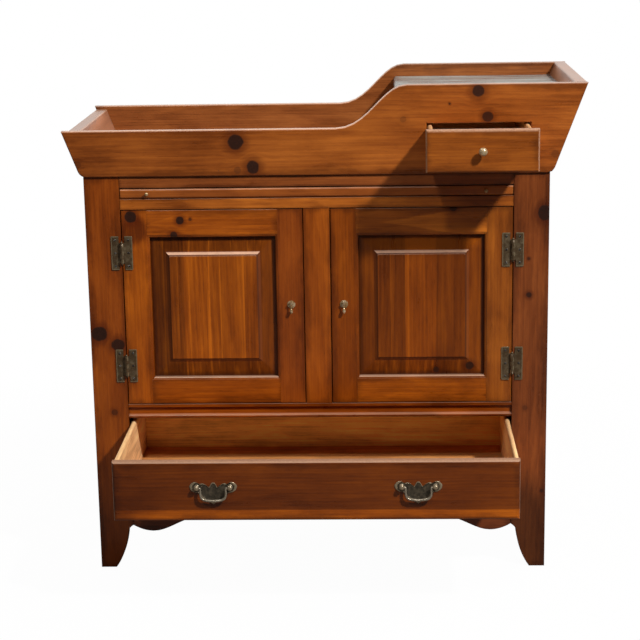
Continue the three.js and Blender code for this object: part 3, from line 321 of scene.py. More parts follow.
def dark_edges(board, glaze, soil):
    """Glaze at the board's very edges, and soil that spreads in from them."""
    seam = board.smooth(board.from_edge + board.ragged * EDGE_RAGGED, GLAZE_REACH, 0.0) * glaze
    spread = min(SOIL_REACH, (board.high[1] - board.low[1]) * SOIL_WIDTH_SHARE)
    grime = board.smooth(board.from_edge + board.ragged * spread * 3.0, spread, 0.0) * soil
    return board.math("MAXIMUM", seam, grime)


def pine(
    node, axes, tone, seed, knots=(), staves=(), strip=None, figure=0.08, streaks=0.65, glaze=0.6, soil=0.4,
    gloss=0.3, bevel=None, worn_and_lit=None, painted_foot_shade=None, flame=None, top_highlight=0.25, ovals=(), bright_lines=0.0,
):
    """Gives a board's node its finish. axes name its length, width and depth; seed picks its place in the
    log; places along and across it are the cabinet's own. knots are (along, across, radius, darkness);
    staves are (low edge, tone share) from the lowest on; strip is (top edge, shares of the tone). figure,
    streaks and bright_lines are how far rings, streaks and single growth lines change its lightness. glaze
    and soil darken its edges, and gloss is its roughness. bevel is a panel's (field's inset, tongue's
    inset, step's width, border's tone share). worn_and_lit is how far its top edge and its ends are painted
    pale, partly from rubbing and partly as painted highlight; painted_foot_shade is (top, foot, darkness),
    painted shade that darkens it towards its foot; and flame is (tip, wide end, middle, half width,
    lightness). top_highlight is how far its upward faces are painted pale as a painted highlight. ovals
    are (along, across, half length, half width, lightness)."""
    board = Board(node, axes, seed)
    bent, hearts, halos = round_knots(board, knots)
    late = late_wood(board, bent)
    streak = board.drawn(STREAK_SPOTS, 4.0, 0.6)
    line = board.drawn(LINE_SPOTS, 2.0)
    pores = board.smooth(board.drawn(PORE_SPOTS, 1.0), 0.6, 0.74)
    lightness = 0.5 + board.ragged * BLOTCH_SHARE + board.sway * SWAY_SHARE + (streak - 0.5) * streaks
    lightness = lightness + (line - 0.5) * LINE_SHARE - pores * PORE_SHARE + (0.4 - late) * figure
    if bright_lines:
        single = board.drawn(BRIGHT_LINE_SPOTS, 1.0, moved=5.0)
        lightness = lightness + board.smooth(single, 0.6, 0.72) * bright_lines
    if flame:
        lightness = lightness + flame_figure(board, flame)
    for *place, share in ovals:
        lightness = lightness + soft_oval(board, *place) * share
    stops = [(at, shade(tone, amount, warmth)) for at, amount, warmth in WOOD_TONES]
    wood = board.node("ValToRGB", {0: lightness}, stops=stops)

    if staves:
        wood = glued_staves(board, wood, staves)
    if strip:
        wood = foot_strip(board, wood, strip)
    # Painted shade: the board darkens towards its foot, where less light reaches.
    if painted_foot_shade:
        top, foot, amount = painted_foot_shade
        wood = board.blend(board.smooth(board.along + board.ragged * 0.05, top, foot) * amount, wood, BLACK)
    dents = small_dents(board)
    seam = dark_edges(board, glaze, soil)
    facing = board.node("TexCoord", {}, output=1)
    upward = board.smooth(board.node("SeparateXYZ", {0: facing}, output=2), *UPWARD_FADE)
    on_step = 0.0
    if bevel:
        wood, seam, upward, on_step = raised_field(board, wood, seam, upward, tone, glaze, bevel)
    # Painted highlight: upward faces are painted paler, as if lit from above.
    wood = board.blend(upward * (streak * 0.6 + 0.7) * top_highlight, wood, PAINTED_TOP_HIGHLIGHT)
    wood = board.blend(seam, wood, shade(tone, *GLAZE_TONE))
    wood = board.blend(dents * 0.55, wood, shade(tone, *DENT_TONE))
    # Painted pale along its top edge and ends, partly from rubbing and partly as painted highlight.
    if worn_and_lit:
        wood = worn_and_lit_edges(board, wood, worn_and_lit)
    if knots:
        wood = board.blend(halos * 0.6, wood, shade(tone, *HALO_TONE))
        wood = board.blend(hearts * 0.96, wood, board.blend(board.grit, KNOT_HEART, KNOT_SPECKS))
    board.surface(
        Base_Color=wood,
        Roughness=gloss + (streak - 0.5) * 0.12 + board.ragged * 0.14 + hearts * 0.08 + on_step * 0.3,
        Specular_IOR_Level=SPECULAR,
    )
    relief = streak * 0.35 + line * 0.35 - late * 0.1 - pores * 0.2 - dents * 1.6 - hearts * 0.4
    board.bump(relief + board.blotch * 1.4, RELIEF_DEPTH)
    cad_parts[node].material_slots[0].material = board.material


CHESTNUT = colour(128, 62, 27)
LEFT_STILE_KNOTS = [
    (0.5888, -0.5371, 0.017, 1.0), (0.562, -0.4941, 0.016, 0.95), (0.3948, -0.5094, 0.008, 0.6),
]
RIGHT_STILE_KNOTS = [
    (0.8697, 0.5118, 0.0165, 1.0), (0.6751, 0.4764, 0.0075, 0.9), (0.7615, 0.4753, 0.004, 0.7),
    (0.3999, 0.4701, 0.006, 0.4), (0.1919, 0.5123, 0.0045, 0.8),
]
# Painted shade: the front stiles darken towards their feet, as (top, foot, darkness).
LEFT_FOOT_SHADE = (0.25, 0.15, 0.12)
RIGHT_FOOT_SHADE = (0.25, 0.15, 0.5)
# Painted shadow: a darker patch at the board rail's right end, under the small drawer, where its shadow
# falls.
BOARD_RAIL_PAINTED_SHADOW = (0.38, 0.915, 0.1, 0.04, -0.2)
pine("left_front_stile", "zxy", colour(141, 65, 12), 11, LEFT_STILE_KNOTS, painted_foot_shade=LEFT_FOOT_SHADE)
pine("right_front_stile", "zxy", colour(127, 63, 25), 12, RIGHT_STILE_KNOTS, painted_foot_shade=RIGHT_FOOT_SHADE)
pine("centre_stile", "zxy", colour(148, 70, 11), 13)
pine("top_rail", "xzy", colour(143, 75, 31), 14)
pine("board_rail", "xzy", colour(174, 93, 28), 15, ovals=[BOARD_RAIL_PAINTED_SHADOW])
pine("waist_rail", "xzy", colour(143, 65, 4), 16)
pine("apron", "xzy", CHESTNUT, 17)


# The case's sides are wide glued-up pine boards, and the back is a thinner dull one let in between them.
# The cupboard's floor is stained like the front, and the two shelves that nobody sees stay pale.
JOINT_FADE = 0.0006


def glued_staves(board, wood, staves):
    """Gives each stave its share of the tone, with a sharp step at each glued joint."""
    share = staves[0][1]
    for (edge, next_share), (_, last_share) in zip(staves[1:], staves):
        step = board.smooth(board.across, edge - JOINT_FADE, edge + JOINT_FADE)
        share = share + step * (next_share - last_share)
    return board.blend(1.0, wood, board.together(share, share, share), "MULTIPLY")


PALE = colour(232, 178, 122)
DULL = colour(104, 58, 30)
SIDE_STAVES = [(0.0, 1.0), (0.03, 0.86), (0.13, 1.08), (0.24, 0.92), (0.34, 1.05)]
UNSTAINED = {"gloss": 0.6, "glaze": 0.1, "soil": 0.1}
pine("left_side_panel", "zyx", CHESTNUT, 21, staves=SIDE_STAVES)
pine("right_side_panel", "zyx", CHESTNUT, 22, staves=SIDE_STAVES)
pine("back_panel", "zxy", DULL, 23, gloss=0.55)
pine("cupboard_floor", "xyz", CHESTNUT, 24, top_highlight=0.0)
pine("board_shelf", "xyz", PALE, 25, **UNSTAINED)
pine("case_bottom", "xyz", PALE, 26, **UNSTAINED)


# The tray on top is one frame of canted boards: front and back are sawn with the same ogee step, and the
# deck on the right, coloured grey as a painted reflection of the white surround, lies over the small
# drawer. The front board holds the largest knots.
RUSSET = colour(136, 64, 22)
TRAY_KNOTS = [
    (-0.201, 1.0423, 0.0175, 1.0), (-0.1625, 0.9844, 0.0158, 1.0), (-0.1986, 0.9776, 0.009, 0.35),
    (0.3555, 1.1536, 0.0155, 0.95), (0.3768, 1.0945, 0.011, 0.9), (0.2904, 1.125, 0.003, 0.8),
    (0.1843, 1.0909, 0.0085, 0.3), (-0.5697, 0.9938, 0.0085, 0.35), (0.5326, 1.0076, 0.009, 0.35),
]
PALE_TRAY_MIDDLE = (0.0, 1.02, 0.24, 0.12, 0.14)
DARK_TRAY_END = (-0.56, 1.0, 0.12, 0.1, -0.08)
# The tray's edges get less glaze and a strong painted highlight on their upward faces.
TRAY_EDGES = {"glaze": 0.35, "top_highlight": 0.75}
pine(
    "tray_front", "xzy", colour(149, 77, 25), 31, TRAY_KNOTS, ovals=[PALE_TRAY_MIDDLE, DARK_TRAY_END],
    **TRAY_EDGES,
)
pine("tray_back", "xzy", colour(145, 81, 37), 32, **TRAY_EDGES)
pine("tray_left_end", "yzx", RUSSET, 33, **TRAY_EDGES)
pine("tray_right_end", "yzx", RUSSET, 34, **TRAY_EDGES)
pine("well_floor", "xyz", RUSSET, 35, top_highlight=0.0)
# Painted reflection: the deck's grey stands in for the white surround reflected off its wood at a glancing
# angle.
pine("deck", "xyz", colour(163, 167, 161), 36, gloss=0.22, top_highlight=0.0)
pine("deck_divider", "yzx", RUSSET, 37)


# Each door is a coped and moulded frame round a raised panel, glued up from staves whose tones differ.
# The top rails are flat-sawn, and stain has gathered along the panels' edges.
# The pale that edges are painted towards, partly from rubbing and partly as painted highlight.
PALE_WEAR_AND_HIGHLIGHT = colour(204, 158, 126)
FLAME_RAGGED = 0.012
# Round a raised field, in metres from its edge or its border's: how far glaze spreads and how raggedly, how
# sharp the cuts are, where the step's strip of painted highlight ends and its painted crease shade begins
# and is full, and where the painted highlight line along the top arris runs and how far it reaches.
RIM_SPREAD = 0.015
RIM_RAGGED = 0.012
CUT_FADE = 0.0004
STEP_FADE = 0.001
LIT_UNTIL = (0.0018, 0.003)
CREASE = (0.0045, 0.0025)
ARRIS_OUT = 0.0008
ARRIS_REACH = 0.0012
ARRIS_TOP = (0.004, 0.002)
STEP_TONE = (0.45, 0.95)
CREASE_SHADE_TONE = (0.2, 0.9)


def flame_figure(board, flame):
    """The pale tongue of a flat-sawn board: from its tip it widens evenly to half on either side of its
    middle line, and it is palest at its sides."""
    tip, wide, middle, half, share = flame
    off = board.math("ABSOLUTE", board.across - middle + board.ragged * FLAME_RAGGED)
    reach = (board.along - tip) * (half / (wide - tip))
    inside = board.smooth(reach - off, -0.0015, 0.0025)
    return inside * board.smooth(off, -0.02, half * 0.8) * share


def raised_field(board, wood, seam, upward, tone, glaze, bevel):
    """Draws a raised panel's border round its field: the border is darker and gathers glaze along its outer
    edge, and the step up to the field is dull, with painted shade in its inner crease, a strip of painted
    highlight where it faces up, and a painted highlight line along its top arris."""
    inner, outer, step, share = bevel
    edge = board.from_edge
    foot = inner - step
    border = board.smooth(edge, inner + CUT_FADE, inner - CUT_FADE) * (1.0 - share)
    wood = board.blend(border, wood, BLACK)
    rim = board.smooth(edge + board.ragged * RIM_RAGGED, outer + RIM_SPREAD, outer) * glaze
    seam = board.math("MAXIMUM", seam, rim)
    on_step = board.smooth(edge, foot - STEP_FADE, foot + STEP_FADE)
    on_step = on_step * board.smooth(edge, inner + STEP_FADE / 2, inner - STEP_FADE / 2)
    wood = board.blend(on_step * 0.3, wood, shade(tone, *STEP_TONE))
    # Painted highlight: the upward sheen is kept only on the step's outer strip.
    lit = board.smooth(edge, foot, foot + STEP_FADE * 2)
    upward = upward * lit * board.smooth(edge, inner - LIT_UNTIL[0], inner - LIT_UNTIL[1])
    # Painted shade: the step's inner crease is darkened.
    crease = board.smooth(edge, inner - CREASE[0], inner - CREASE[1]) * on_step * 0.5
    wood = board.blend(crease, wood, shade(tone, *CREASE_SHADE_TONE))
    # Painted highlight: a pale line along the field's top arris.
    from_arris = board.math("ABSOLUTE", edge - (inner + ARRIS_OUT))
    at_top = board.smooth(board.high[0] - board.along, inner + ARRIS_TOP[0], inner + ARRIS_TOP[1])
    arris = board.smooth(from_arris, ARRIS_REACH, 0.0) * at_top * board.grit
    wood = board.blend(arris, wood, PALE_WEAR_AND_HIGHLIGHT)
    return wood, seam, upward, on_step


FIELD_INSET = 0.0522
TONGUE_INSET = 0.0076
STEP_WIDTH = 0.009
LEFT_STAVES = [(-0.5, 0.78), (-0.3334, 1.12), (-0.2703, 1.0), (-0.1568, 1.1)]
RIGHT_STAVES = [(0.0, 0.92), (0.1876, 1.28), (0.2601, 0.95), (0.3341, 1.05)]
LEFT_STILE_KNOT = (0.8695, -0.4522, 0.015, 1.0)
LEFT_RAIL_KNOTS = [
    (-0.337, 0.86, 0.0095, 1.0), (-0.3523, 0.8244, 0.0105, 0.95), (-0.3128, 0.8626, 0.004, 0.7),
]
RIGHT_RAIL_KNOT = (0.2999, 0.8829, 0.008, 0.8)
RIGHT_PANEL_KNOTS = [(0.4929, 0.2596, 0.007, 0.8), (0.5021, 0.34, 0.012, 0.95)]
LEFT_RAIL_FLAME = (-0.4141, -0.3122, 0.853, 0.03, 0.24)
RIGHT_RAIL_FLAME = (0.1279, 0.2964, 0.8518, 0.0255, 0.4)
LEFT_CORNER_SMEAR = (0.836, -0.44, 0.045, 0.045, -0.45)
PALE_BETWEEN_HINGES = (0.69, -0.45, 0.1, 0.06, 0.15)
# Partly stain and partly painted shade: the panels' borders are darkened at top and bottom. The right
# panel's top border is instead painted lighter, as painted light against the top rail's cast shadow.
LEFT_PANEL_ENDS = [(0.802, -0.263, 0.03, 0.16, -0.15), (0.499, -0.263, 0.03, 0.16, -0.14)]
RIGHT_PANEL_ENDS = [(0.802, 0.226, 0.03, 0.16, 0.5), (0.499, 0.226, 0.03, 0.16, -0.14)]
# Painted light: the right door's hinge stile is lightened above its lower hinge, lifting the cast shade
# there.
PAINTED_LIGHT_ABOVE_LOWER_HINGE = (0.56, 0.41, 0.07, 0.06, 0.2)
# Painted shadow: the right door's top rail is darkened a little where the small drawer's shadow falls.
RIGHT_TOP_RAIL_PAINTED_SHADOW = (0.36, 0.86, 0.06, 0.06, -0.06)
DARK_BOTTOM_RAIL_END = (0.36, 0.45, 0.06, 0.06, -0.2)
pine(
    "left_door_hinge_stile", "zxy", colour(162, 78, 10), 41, [LEFT_STILE_KNOT],
    ovals=[LEFT_CORNER_SMEAR, PALE_BETWEEN_HINGES],
)
pine("left_door_lock_stile", "zxy", colour(134, 61, 12), 42)
pine("left_door_top_rail", "xzy", colour(158, 76, 12), 43, LEFT_RAIL_KNOTS, flame=LEFT_RAIL_FLAME)
pine("left_door_bottom_rail", "xzy", colour(159, 76, 9), 44, top_highlight=1.0)
pine(
    "left_door_panel", "zxy", colour(148, 71, 8), 45, staves=LEFT_STAVES, figure=0.12, streaks=1.0,
    glaze=0.7, bevel=(FIELD_INSET, TONGUE_INSET, STEP_WIDTH, 0.62), top_highlight=0.9, ovals=LEFT_PANEL_ENDS,
    bright_lines=0.4,
)
pine("right_door_hinge_stile", "zxy", colour(146, 75, 18), 46, ovals=[PAINTED_LIGHT_ABOVE_LOWER_HINGE])
pine("right_door_lock_stile", "zxy", colour(132, 60, 4), 47)
pine(
    "right_door_top_rail", "xzy", colour(164, 85, 22), 48, [RIGHT_RAIL_KNOT], flame=RIGHT_RAIL_FLAME,
    ovals=[RIGHT_TOP_RAIL_PAINTED_SHADOW],
)
pine("right_door_bottom_rail", "xzy", colour(162, 80, 10), 49, top_highlight=1.0, ovals=[DARK_BOTTOM_RAIL_END])
pine(
    "right_door_panel", "zxy", colour(121, 55, 4), 50, RIGHT_PANEL_KNOTS, RIGHT_STAVES, streaks=0.9,
    glaze=0.7, bevel=(FIELD_INSET, TONGUE_INSET, STEP_WIDTH, 0.95), top_highlight=0.7, ovals=RIGHT_PANEL_ENDS,
    bright_lines=0.3,
)


# The pull-out board, and the two drawers. Their fronts are stained, their boxes bare pale pine; the long
# front is glued up from a dark wide board and a lighter strip along its foot.
STRIP_WAVE = 0.012
STRIP_FADE = 0.0015


def foot_strip(board, wood, strip):
    """A strip of another tone, from the board's low edge up to a slightly wavy glued joint."""
    edge, shares = strip
    wavy = board.across + board.sway * STRIP_WAVE
    amount = board.smooth(wavy, edge + STRIP_FADE, edge - STRIP_FADE)
    return board.blend(amount, wood, board.blend(1.0, wood, shares, "MULTIPLY"))


def worn_and_lit_edges(board, wood, worn_and_lit):
    """Paints the board pale along its top edge and at its ends, partly from rubbing and partly as painted
    highlight.
    """
    top, ends = worn_and_lit
    wander = board.ragged * EDGE_RAGGED
    pale_edge = board.smooth(board.high[1] - board.across + wander, top, top * 0.4)
    pale_edge = board.math("MAXIMUM", pale_edge, board.smooth(board.from_ends + wander, ends, ends * 0.4))
    return board.blend(pale_edge * (board.grit * 0.9 + 0.1), wood, PALE_WEAR_AND_HIGHLIGHT)


PALE_BOARD_END = (-0.42, 0.93, 0.1, 0.04, 0.15)
# Three small pale spots at the pull-out board's right end.
PALE_END_SPOTS = [
    (0.4375, 0.932, 0.005, 0.0016, 0.9), (0.437, 0.9245, 0.004, 0.0014, 0.9),
    (0.438, 0.9168, 0.004, 0.0014, 0.9),
]
FRONT_STRIP = (0.2585, (2.3, 2.5, 1.6, 1.0))
DARK_FRONT_END = (-0.42, 0.22, 0.1, 0.1, -0.12)
# Painted light: the long drawer's sides and back are lighter than the other bare pine, standing in for
# light that reaches into the open drawer.
DRAWER_SIDE_PAINTED_LIGHT = colour(252, 202, 142)
BARE = {"gloss": 0.55, "glaze": 0.1, "soil": 0.1, "top_highlight": 0.0}
pine("pull_out_board", "xzy", colour(152, 79, 28), 51, ovals=[PALE_BOARD_END, *PALE_END_SPOTS])
pine(
    "drawer_front", "xzy", colour(116, 51, 5), 52, strip=FRONT_STRIP, worn_and_lit=(0.004, 0.0015), top_highlight=0.6,
    ovals=[DARK_FRONT_END],
)
pine("drawer_left_side", "yzx", DRAWER_SIDE_PAINTED_LIGHT, 53, **BARE)
pine("drawer_right_side", "yzx", DRAWER_SIDE_PAINTED_LIGHT, 54, **BARE)
# Painted light: the back is painted lighter to stand in for light reaching it.
pine("drawer_back", "xzy", colour(255, 203, 114), 55, gloss=0.5, glaze=0.1, soil=0.05, top_highlight=0.0)
pine("drawer_bottom", "xyz", colour(212, 142, 78), 56, gloss=0.5, glaze=0.2, soil=0.2, top_highlight=0.0)
pine("small_drawer_front", "xzy", colour(147, 76, 21), 57, worn_and_lit=(0.008, 0.004))
pine("small_drawer_left_side", "yzx", PALE, 58, **BARE)
pine("small_drawer_right_side", "yzx", PALE, 59, **BARE)
pine("small_drawer_back", "xzy", PALE, 60, **BARE)
pine("small_drawer_bottom", "xyz", PALE, 61, **BARE)


# Hinges are cast brass, aged nearly black in their hollows and paler along their rims, partly from rubbing
# and partly as painted highlight. Each leaf is the solid's own, with its edges eased, and three slotted
# screws hold each leaf down.
TARNISH_SPOTS = 90.0
HAMMER_SPOTS = 420.0
RIM_REACH = 0.0028
RIM_FULL = 0.0012
RIM_WEAR_AND_HIGHLIGHT = 0.35
WORN_FADE = (0.4, 0.85)
HAMMER_DEPTH = 0.0004
WELD_REACH = 2e-6
SHORTEST_EDGE = 1e-7
SHARP_ANGLE = 0.7
FLAT_ANGLE = 0.01
EASED_ANGLE = 0.6
MILLIMETRE = 0.001


def brass(name, tone, worn_and_lit, rough, seed, metal=0.35, mottle=1.0, node=None):
    """Cast brass: tarnish in slow patches over the paler metal, fine hammering, and pale rims, partly from
    rubbing and partly as a painted highlight, where the mesh's wear_and_highlight is 1 or, where a node is
    named, near the edges of its box. rough is its roughness, seed picks its patches, metal is how metallic
    it is, and mottle is how strong the patches are."""
    finish = Finish(name)
    place = finish.object_place()
    shift = np.random.default_rng(seed).uniform(-9.0, 9.0, 3)
    tarnish = finish.noise(finish.stretched(place, (TARNISH_SPOTS,) * 3, shift), 1.0, 3.0)
    hammer = finish.noise(finish.stretched(place, (HAMMER_SPOTS,) * 3, shift), 1.0, 1.0)
    # Pale rims near the box's edges, partly from rubbing and partly as painted highlight.
    if node:
        low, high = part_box(node)
        x, _, z = finish.coordinates(place)
        inward = x - low[0]
        for distance in [high[0] - x, z - low[2], high[2] - z]:
            inward = finish.math("MINIMUM", inward, distance)
        wear_and_highlight = finish.smooth(inward + (hammer - 0.5) * 0.001, RIM_REACH, RIM_FULL)
    else:
        wear_and_highlight = finish.node("Attribute", {}, output=2, attribute_name="wear_and_highlight")
    spotted = (tarnish - 0.5) * mottle + (hammer - 0.5) * (mottle * 0.4)
    rubbed_and_lit = finish.smooth(spotted + wear_and_highlight * RIM_WEAR_AND_HIGHLIGHT + 0.5, *WORN_FADE)
    finish.surface(
        Base_Color=finish.blend(rubbed_and_lit, tone, worn_and_lit),
        Roughness=rough + (tarnish - 0.5) * 0.3 - wear_and_highlight * 0.1,
        Metallic=metal,
    )
    finish.bump(hammer + tarnish * 0.6, HAMMER_DEPTH)
    return finish


def mesh_of(name, shells, wears_and_highlights=None):
    """One mesh from shells, each a grid of points [row, column, xyz] whose columns close on themselves.
    Points that fall together, as at a pole, are welded. wears_and_highlights gives each row of each shell
    its paleness, from rubbing and as painted highlight."""
    points = np.concatenate([shell.reshape(-1, 3) for shell in shells])
    faces = []
    first = 0
    for rows, columns in [shell.shape[:2] for shell in shells]:
        row, column = np.meshgrid(np.arange(rows - 1), np.arange(columns), indexing="ij")
        beside = (column + 1) % columns
        this_row, next_row = row * columns, (row + 1) * columns
        corners = [this_row + column, this_row + beside, next_row + beside, next_row + column]
        faces.append(np.stack(corners, axis=-1).reshape(-1, 4) + first)
        first += rows * columns
    mesh = bpy.data.meshes.new(name)
    mesh.from_pydata(points.tolist(), [], np.concatenate(faces).tolist())
    if wears_and_highlights is not None:
        rows_wear = [np.repeat(wear_and_highlight, shell.shape[1]) for wear_and_highlight, shell in zip(wears_and_highlights, shells)]
        attribute = mesh.attributes.new("wear_and_highlight", "FLOAT", "POINT")
        attribute.data.foreach_set("value", np.concatenate(rows_wear))
    return tidied(mesh)


def tidied(mesh, flat_join=None):
    """The mesh with its doubled points welded, its faces turned outward and rounded in shading, and its
    coplanar faces joined where flat_join gives an angle."""
    shape = bmesh.new()
    shape.from_mesh(mesh)
    bmesh.ops.remove_doubles(shape, verts=shape.verts, dist=WELD_REACH)
    bmesh.ops.dissolve_degenerate(shape, edges=shape.edges, dist=SHORTEST_EDGE)
    if flat_join:
        bmesh.ops.dissolve_limit(shape, verts=shape.verts, edges=shape.edges, angle_limit=flat_join)
    bmesh.ops.recalc_face_normals(shape, faces=shape.faces)
    shape.to_mesh(mesh)
    shape.free()
    mesh.shade_smooth()
    mesh.set_sharp_from_angle(angle=SHARP_ANGLE)
    return mesh


def fixed(name, mesh, body, finish, node=None):
    """Puts a piece in the scene: it rides on the body and stands for the node, if one is named."""
    mesh.materials.clear()
    mesh.materials.append(finish.material)
    made = bpy.data.objects.new(name, mesh)
    bpy.context.scene.collection.objects.link(made)
    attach(made, body)
    if node:
        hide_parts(node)
    return made


def eased(name, node, body, finish, width):
    """A copy of a node's solid with its edges rounded off by width."""
    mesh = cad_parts[node].data.copy()
    mesh.name = name
    made = fixed(name, tidied(mesh, FLAT_ANGLE), body, finish, node)
    rounding = made.modifiers.new("eased_edges", "BEVEL")
    rounding.width = width
    rounding.segments = 2
    rounding.limit_method = "ANGLE"
    rounding.angle_limit = EASED_ANGLE


def turned(profile, place, steps, facing="front"):
    """Points of a turned piece: at (radius, length) along the profile, in millimetres, a circle of that
    radius round the axis at that length, towards the front or downward from place."""
    radius, length = np.array(profile).T[:, :, None] * MILLIMETRE
    angle = np.linspace(0.0, 2 * np.pi, steps, endpoint=False)[None, :]
    forward = length + 0.0 * angle
    if facing == "front":
        points = np.stack([radius * np.cos(angle), -forward, radius * np.sin(angle)], axis=-1)
    else:
        points = np.stack([radius * np.cos(angle), -radius * np.sin(angle), -forward], axis=-1)
    return points + np.array(place)


AGED = colour(78, 60, 39)
AGED_WORN = colour(128, 114, 88)
LEAF_THICKNESS = 0.002
LEAF_EASING = 0.0005
SCREW_PROFILE = [(0, -0.6), (2.7, -0.6), (2.9, 0.0), (2.7, 0.35), (1.9, 0.75), (1.0, 0.92), (0, 0.95)]
SCREW_INSET = 0.0095
SCREW_LEVELS = [-0.031, 0.0, 0.031]
SLOT_HALF = 0.00045
SLOT_DEPTH = 0.0006
SLOT_FROM = 0.0003
ROUND_STEPS = 24
screw_steel = brass("screw_steel", colour(44, 38, 32), colour(120, 112, 102), 0.35, 73)
slot_turns = np.random.default_rng(74)
for side in ["left", "right"]:
    for level in ["upper", "lower"]:
        for part, body in [("case_leaf", "case"), ("door_leaf", side + "_door")]:
            name = f"{side}_{level}_{part}"
            node = f"{side}_{level}_hinge_{part}"
            leaf_brass = brass(name + "_brass", AGED, AGED_WORN, 0.42, 71, mottle=0.6, node=node)
            eased(name + "_plate", node, body, leaf_brass, LEAF_EASING)
            low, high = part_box(node)
            on_left_edge = (side == "left") == (part == "case_leaf")
            across = low[0] + SCREW_INSET if on_left_edge else high[0] - SCREW_INSET
            screws = []
            for rise in SCREW_LEVELS:
                screw = turned(SCREW_PROFILE, (0.0, 0.0, 0.0), ROUND_STEPS)
                cut_angle = slot_turns.uniform(0.0, np.pi)
                offset = screw[..., 0] * np.sin(cut_angle) - screw[..., 2] * np.cos(cut_angle)
                in_slot = (np.abs(offset) < SLOT_HALF) & (screw[..., 1] < -SLOT_FROM)
                screw[..., 1] += in_slot * SLOT_DEPTH
                seat = [across, high[1] - LEAF_THICKNESS, (low[2] + high[2]) / 2 + rise]
                screws.append(screw + np.array(seat))
            fixed(name + "_screws", mesh_of(name + "_screws", screws), body, screw_steel)


# A drop pull hangs on each door: a round rose with a slotted fork, and a turned pendant on a cross pin.
# They are bright brass, rubbed nearly white where the light catches them.
BRIGHT = colour(150, 118, 76)
BRIGHT_WORN = colour(240, 222, 190)
ROSE_EASING = 0.0004
PENDANT_LENGTH = 0.027
DROP_PROFILE = [
    (0, 4.3), (1.3, 4.4), (1.75, 5.0), (1.4, 6.2), (1.4, 10.5), (2.0, 12.0), (1.6, 13.4), (2.6, 15.2),
    (3.6, 17.6), (3.9, 20.0), (3.7, 22.4), (2.9, 24.3), (1.9, 25.2), (1.7, 26.0), (1.1, 26.8), (0, 27.0),
]
TONGUE_CORNERS = [(-1.3, -1.5), (1.3, -1.5), (1.3, 1.5), (-1.3, 1.5)]
TONGUE_LEVELS = [(1.5, 0.0), (1.5, 1.0), (-5.0, 1.0), (-5.0, 0.0)]
PIN_PROFILE = [(0, -3.1), (0.95, -3.1), (0.95, 3.1), (0, 3.1)]
PIN_STEPS = 12


def tongue_bar():
    """Points of a square bar: its four corners at each level, shrunk to that level's share, so that the
    first and last levels close its ends."""
    height, share = np.array(TONGUE_LEVELS).T[:, :, None]
    x, y = np.array(TONGUE_CORNERS).T[:, None, :]
    return np.stack([x * share, y * share, height + 0.0 * x], axis=-1) * MILLIMETRE


drop_brass = brass("drop_brass", BRIGHT, BRIGHT_WORN, 0.25, 75)
for side in ["left", "right"]:
    eased(side + "_pull_rose", side + "_drop_rose", side + "_door", drop_brass, ROSE_EASING)
    low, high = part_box(side + "_drop_pendant")
    pivot = np.array([(low[0] + high[0]) / 2, (low[1] + high[1]) / 2, low[2] + PENDANT_LENGTH])
    bulb = turned(DROP_PROFILE, pivot, ROUND_STEPS, "down")
    pin = turned(PIN_PROFILE, (0.0, 0.0, 0.0), PIN_STEPS)[..., [1, 0, 2]] + pivot
    pendant = mesh_of(side + "_pendant", [bulb, tongue_bar() + pivot, pin])
    fixed(side + "_pendant", pendant, side + "_drop", drop_brass, side + "_drop_pendant")


# The small drawer has a turned brass knob, and the pull-out board has two little ones of the same shape.
# Each is turned in one piece, and its profile is stretched to the node's own radius and length.
KNOB_PROFILE = [
    (0, 0), (0.72, 0), (0.74, 0.05), (0.5, 0.1), (0.41, 0.2), (0.4, 0.34), (0.55, 0.44), (0.86, 0.5),
    (0.98, 0.58), (1.0, 0.66), (0.95, 0.76), (0.82, 0.86), (0.6, 0.94), (0.32, 0.985), (0, 1.0),
]
KNOB_STEPS = 32
knob_brass = brass(
    "knob_brass", colour(176, 146, 102), colour(236, 218, 182), 0.3, 76, metal=0.5, mottle=0.6,
)
for node, body in [
    ("small_drawer_knob", "small_drawer"),
    ("left_board_knob", "pull_out_board"),
    ("right_board_knob", "pull_out_board"),
]:
    low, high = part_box(node)
    middle = ((low[0] + high[0]) / 2, high[1], (low[2] + high[2]) / 2)
    profile = np.array(KNOB_PROFILE) * ((high[0] - low[0]) / 2, high[1] - low[1]) / MILLIMETRE
    name = node.replace("knob", "button")
    knob = mesh_of(name, [turned(profile, middle, KNOB_STEPS)])
    fixed(name, knob, body, knob_brass, node)


# Two bat-wing plates are pinned to the long drawer's front, each cast with a raised rim and two round
# posts. A swelling bail turns in each pair of posts. Both are dark brass, with their rims and the posts'
# domes paler, partly from rubbing and partly as painted highlight.
WING_HALF = 53.0
WING_TOP = 12.3
WING_BOTTOM = 40.0
WING_TOP_SHARES = [
    (0, 0.9), (0.07, 0.78), (0.13, 0.35), (0.18, 0.02), (0.25, 0.2), (0.33, 0.5), (0.46, 0.76),
    (0.57, 0.62), (0.66, 0.8), (0.77, 1), (0.88, 0.88), (0.96, 0.55), (1, 0.25),
]
WING_BOTTOM_SHARES = [
    (0.985, 0.06), (0.93, 0.19), (0.82, 0.28), (0.7, 0.31), (0.6, 0.37), (0.55, 0.47), (0.49, 0.6),
    (0.36, 0.73), (0.2, 0.84), (0, 1),
]
WING_HEART = np.array([0.0, -8.0])
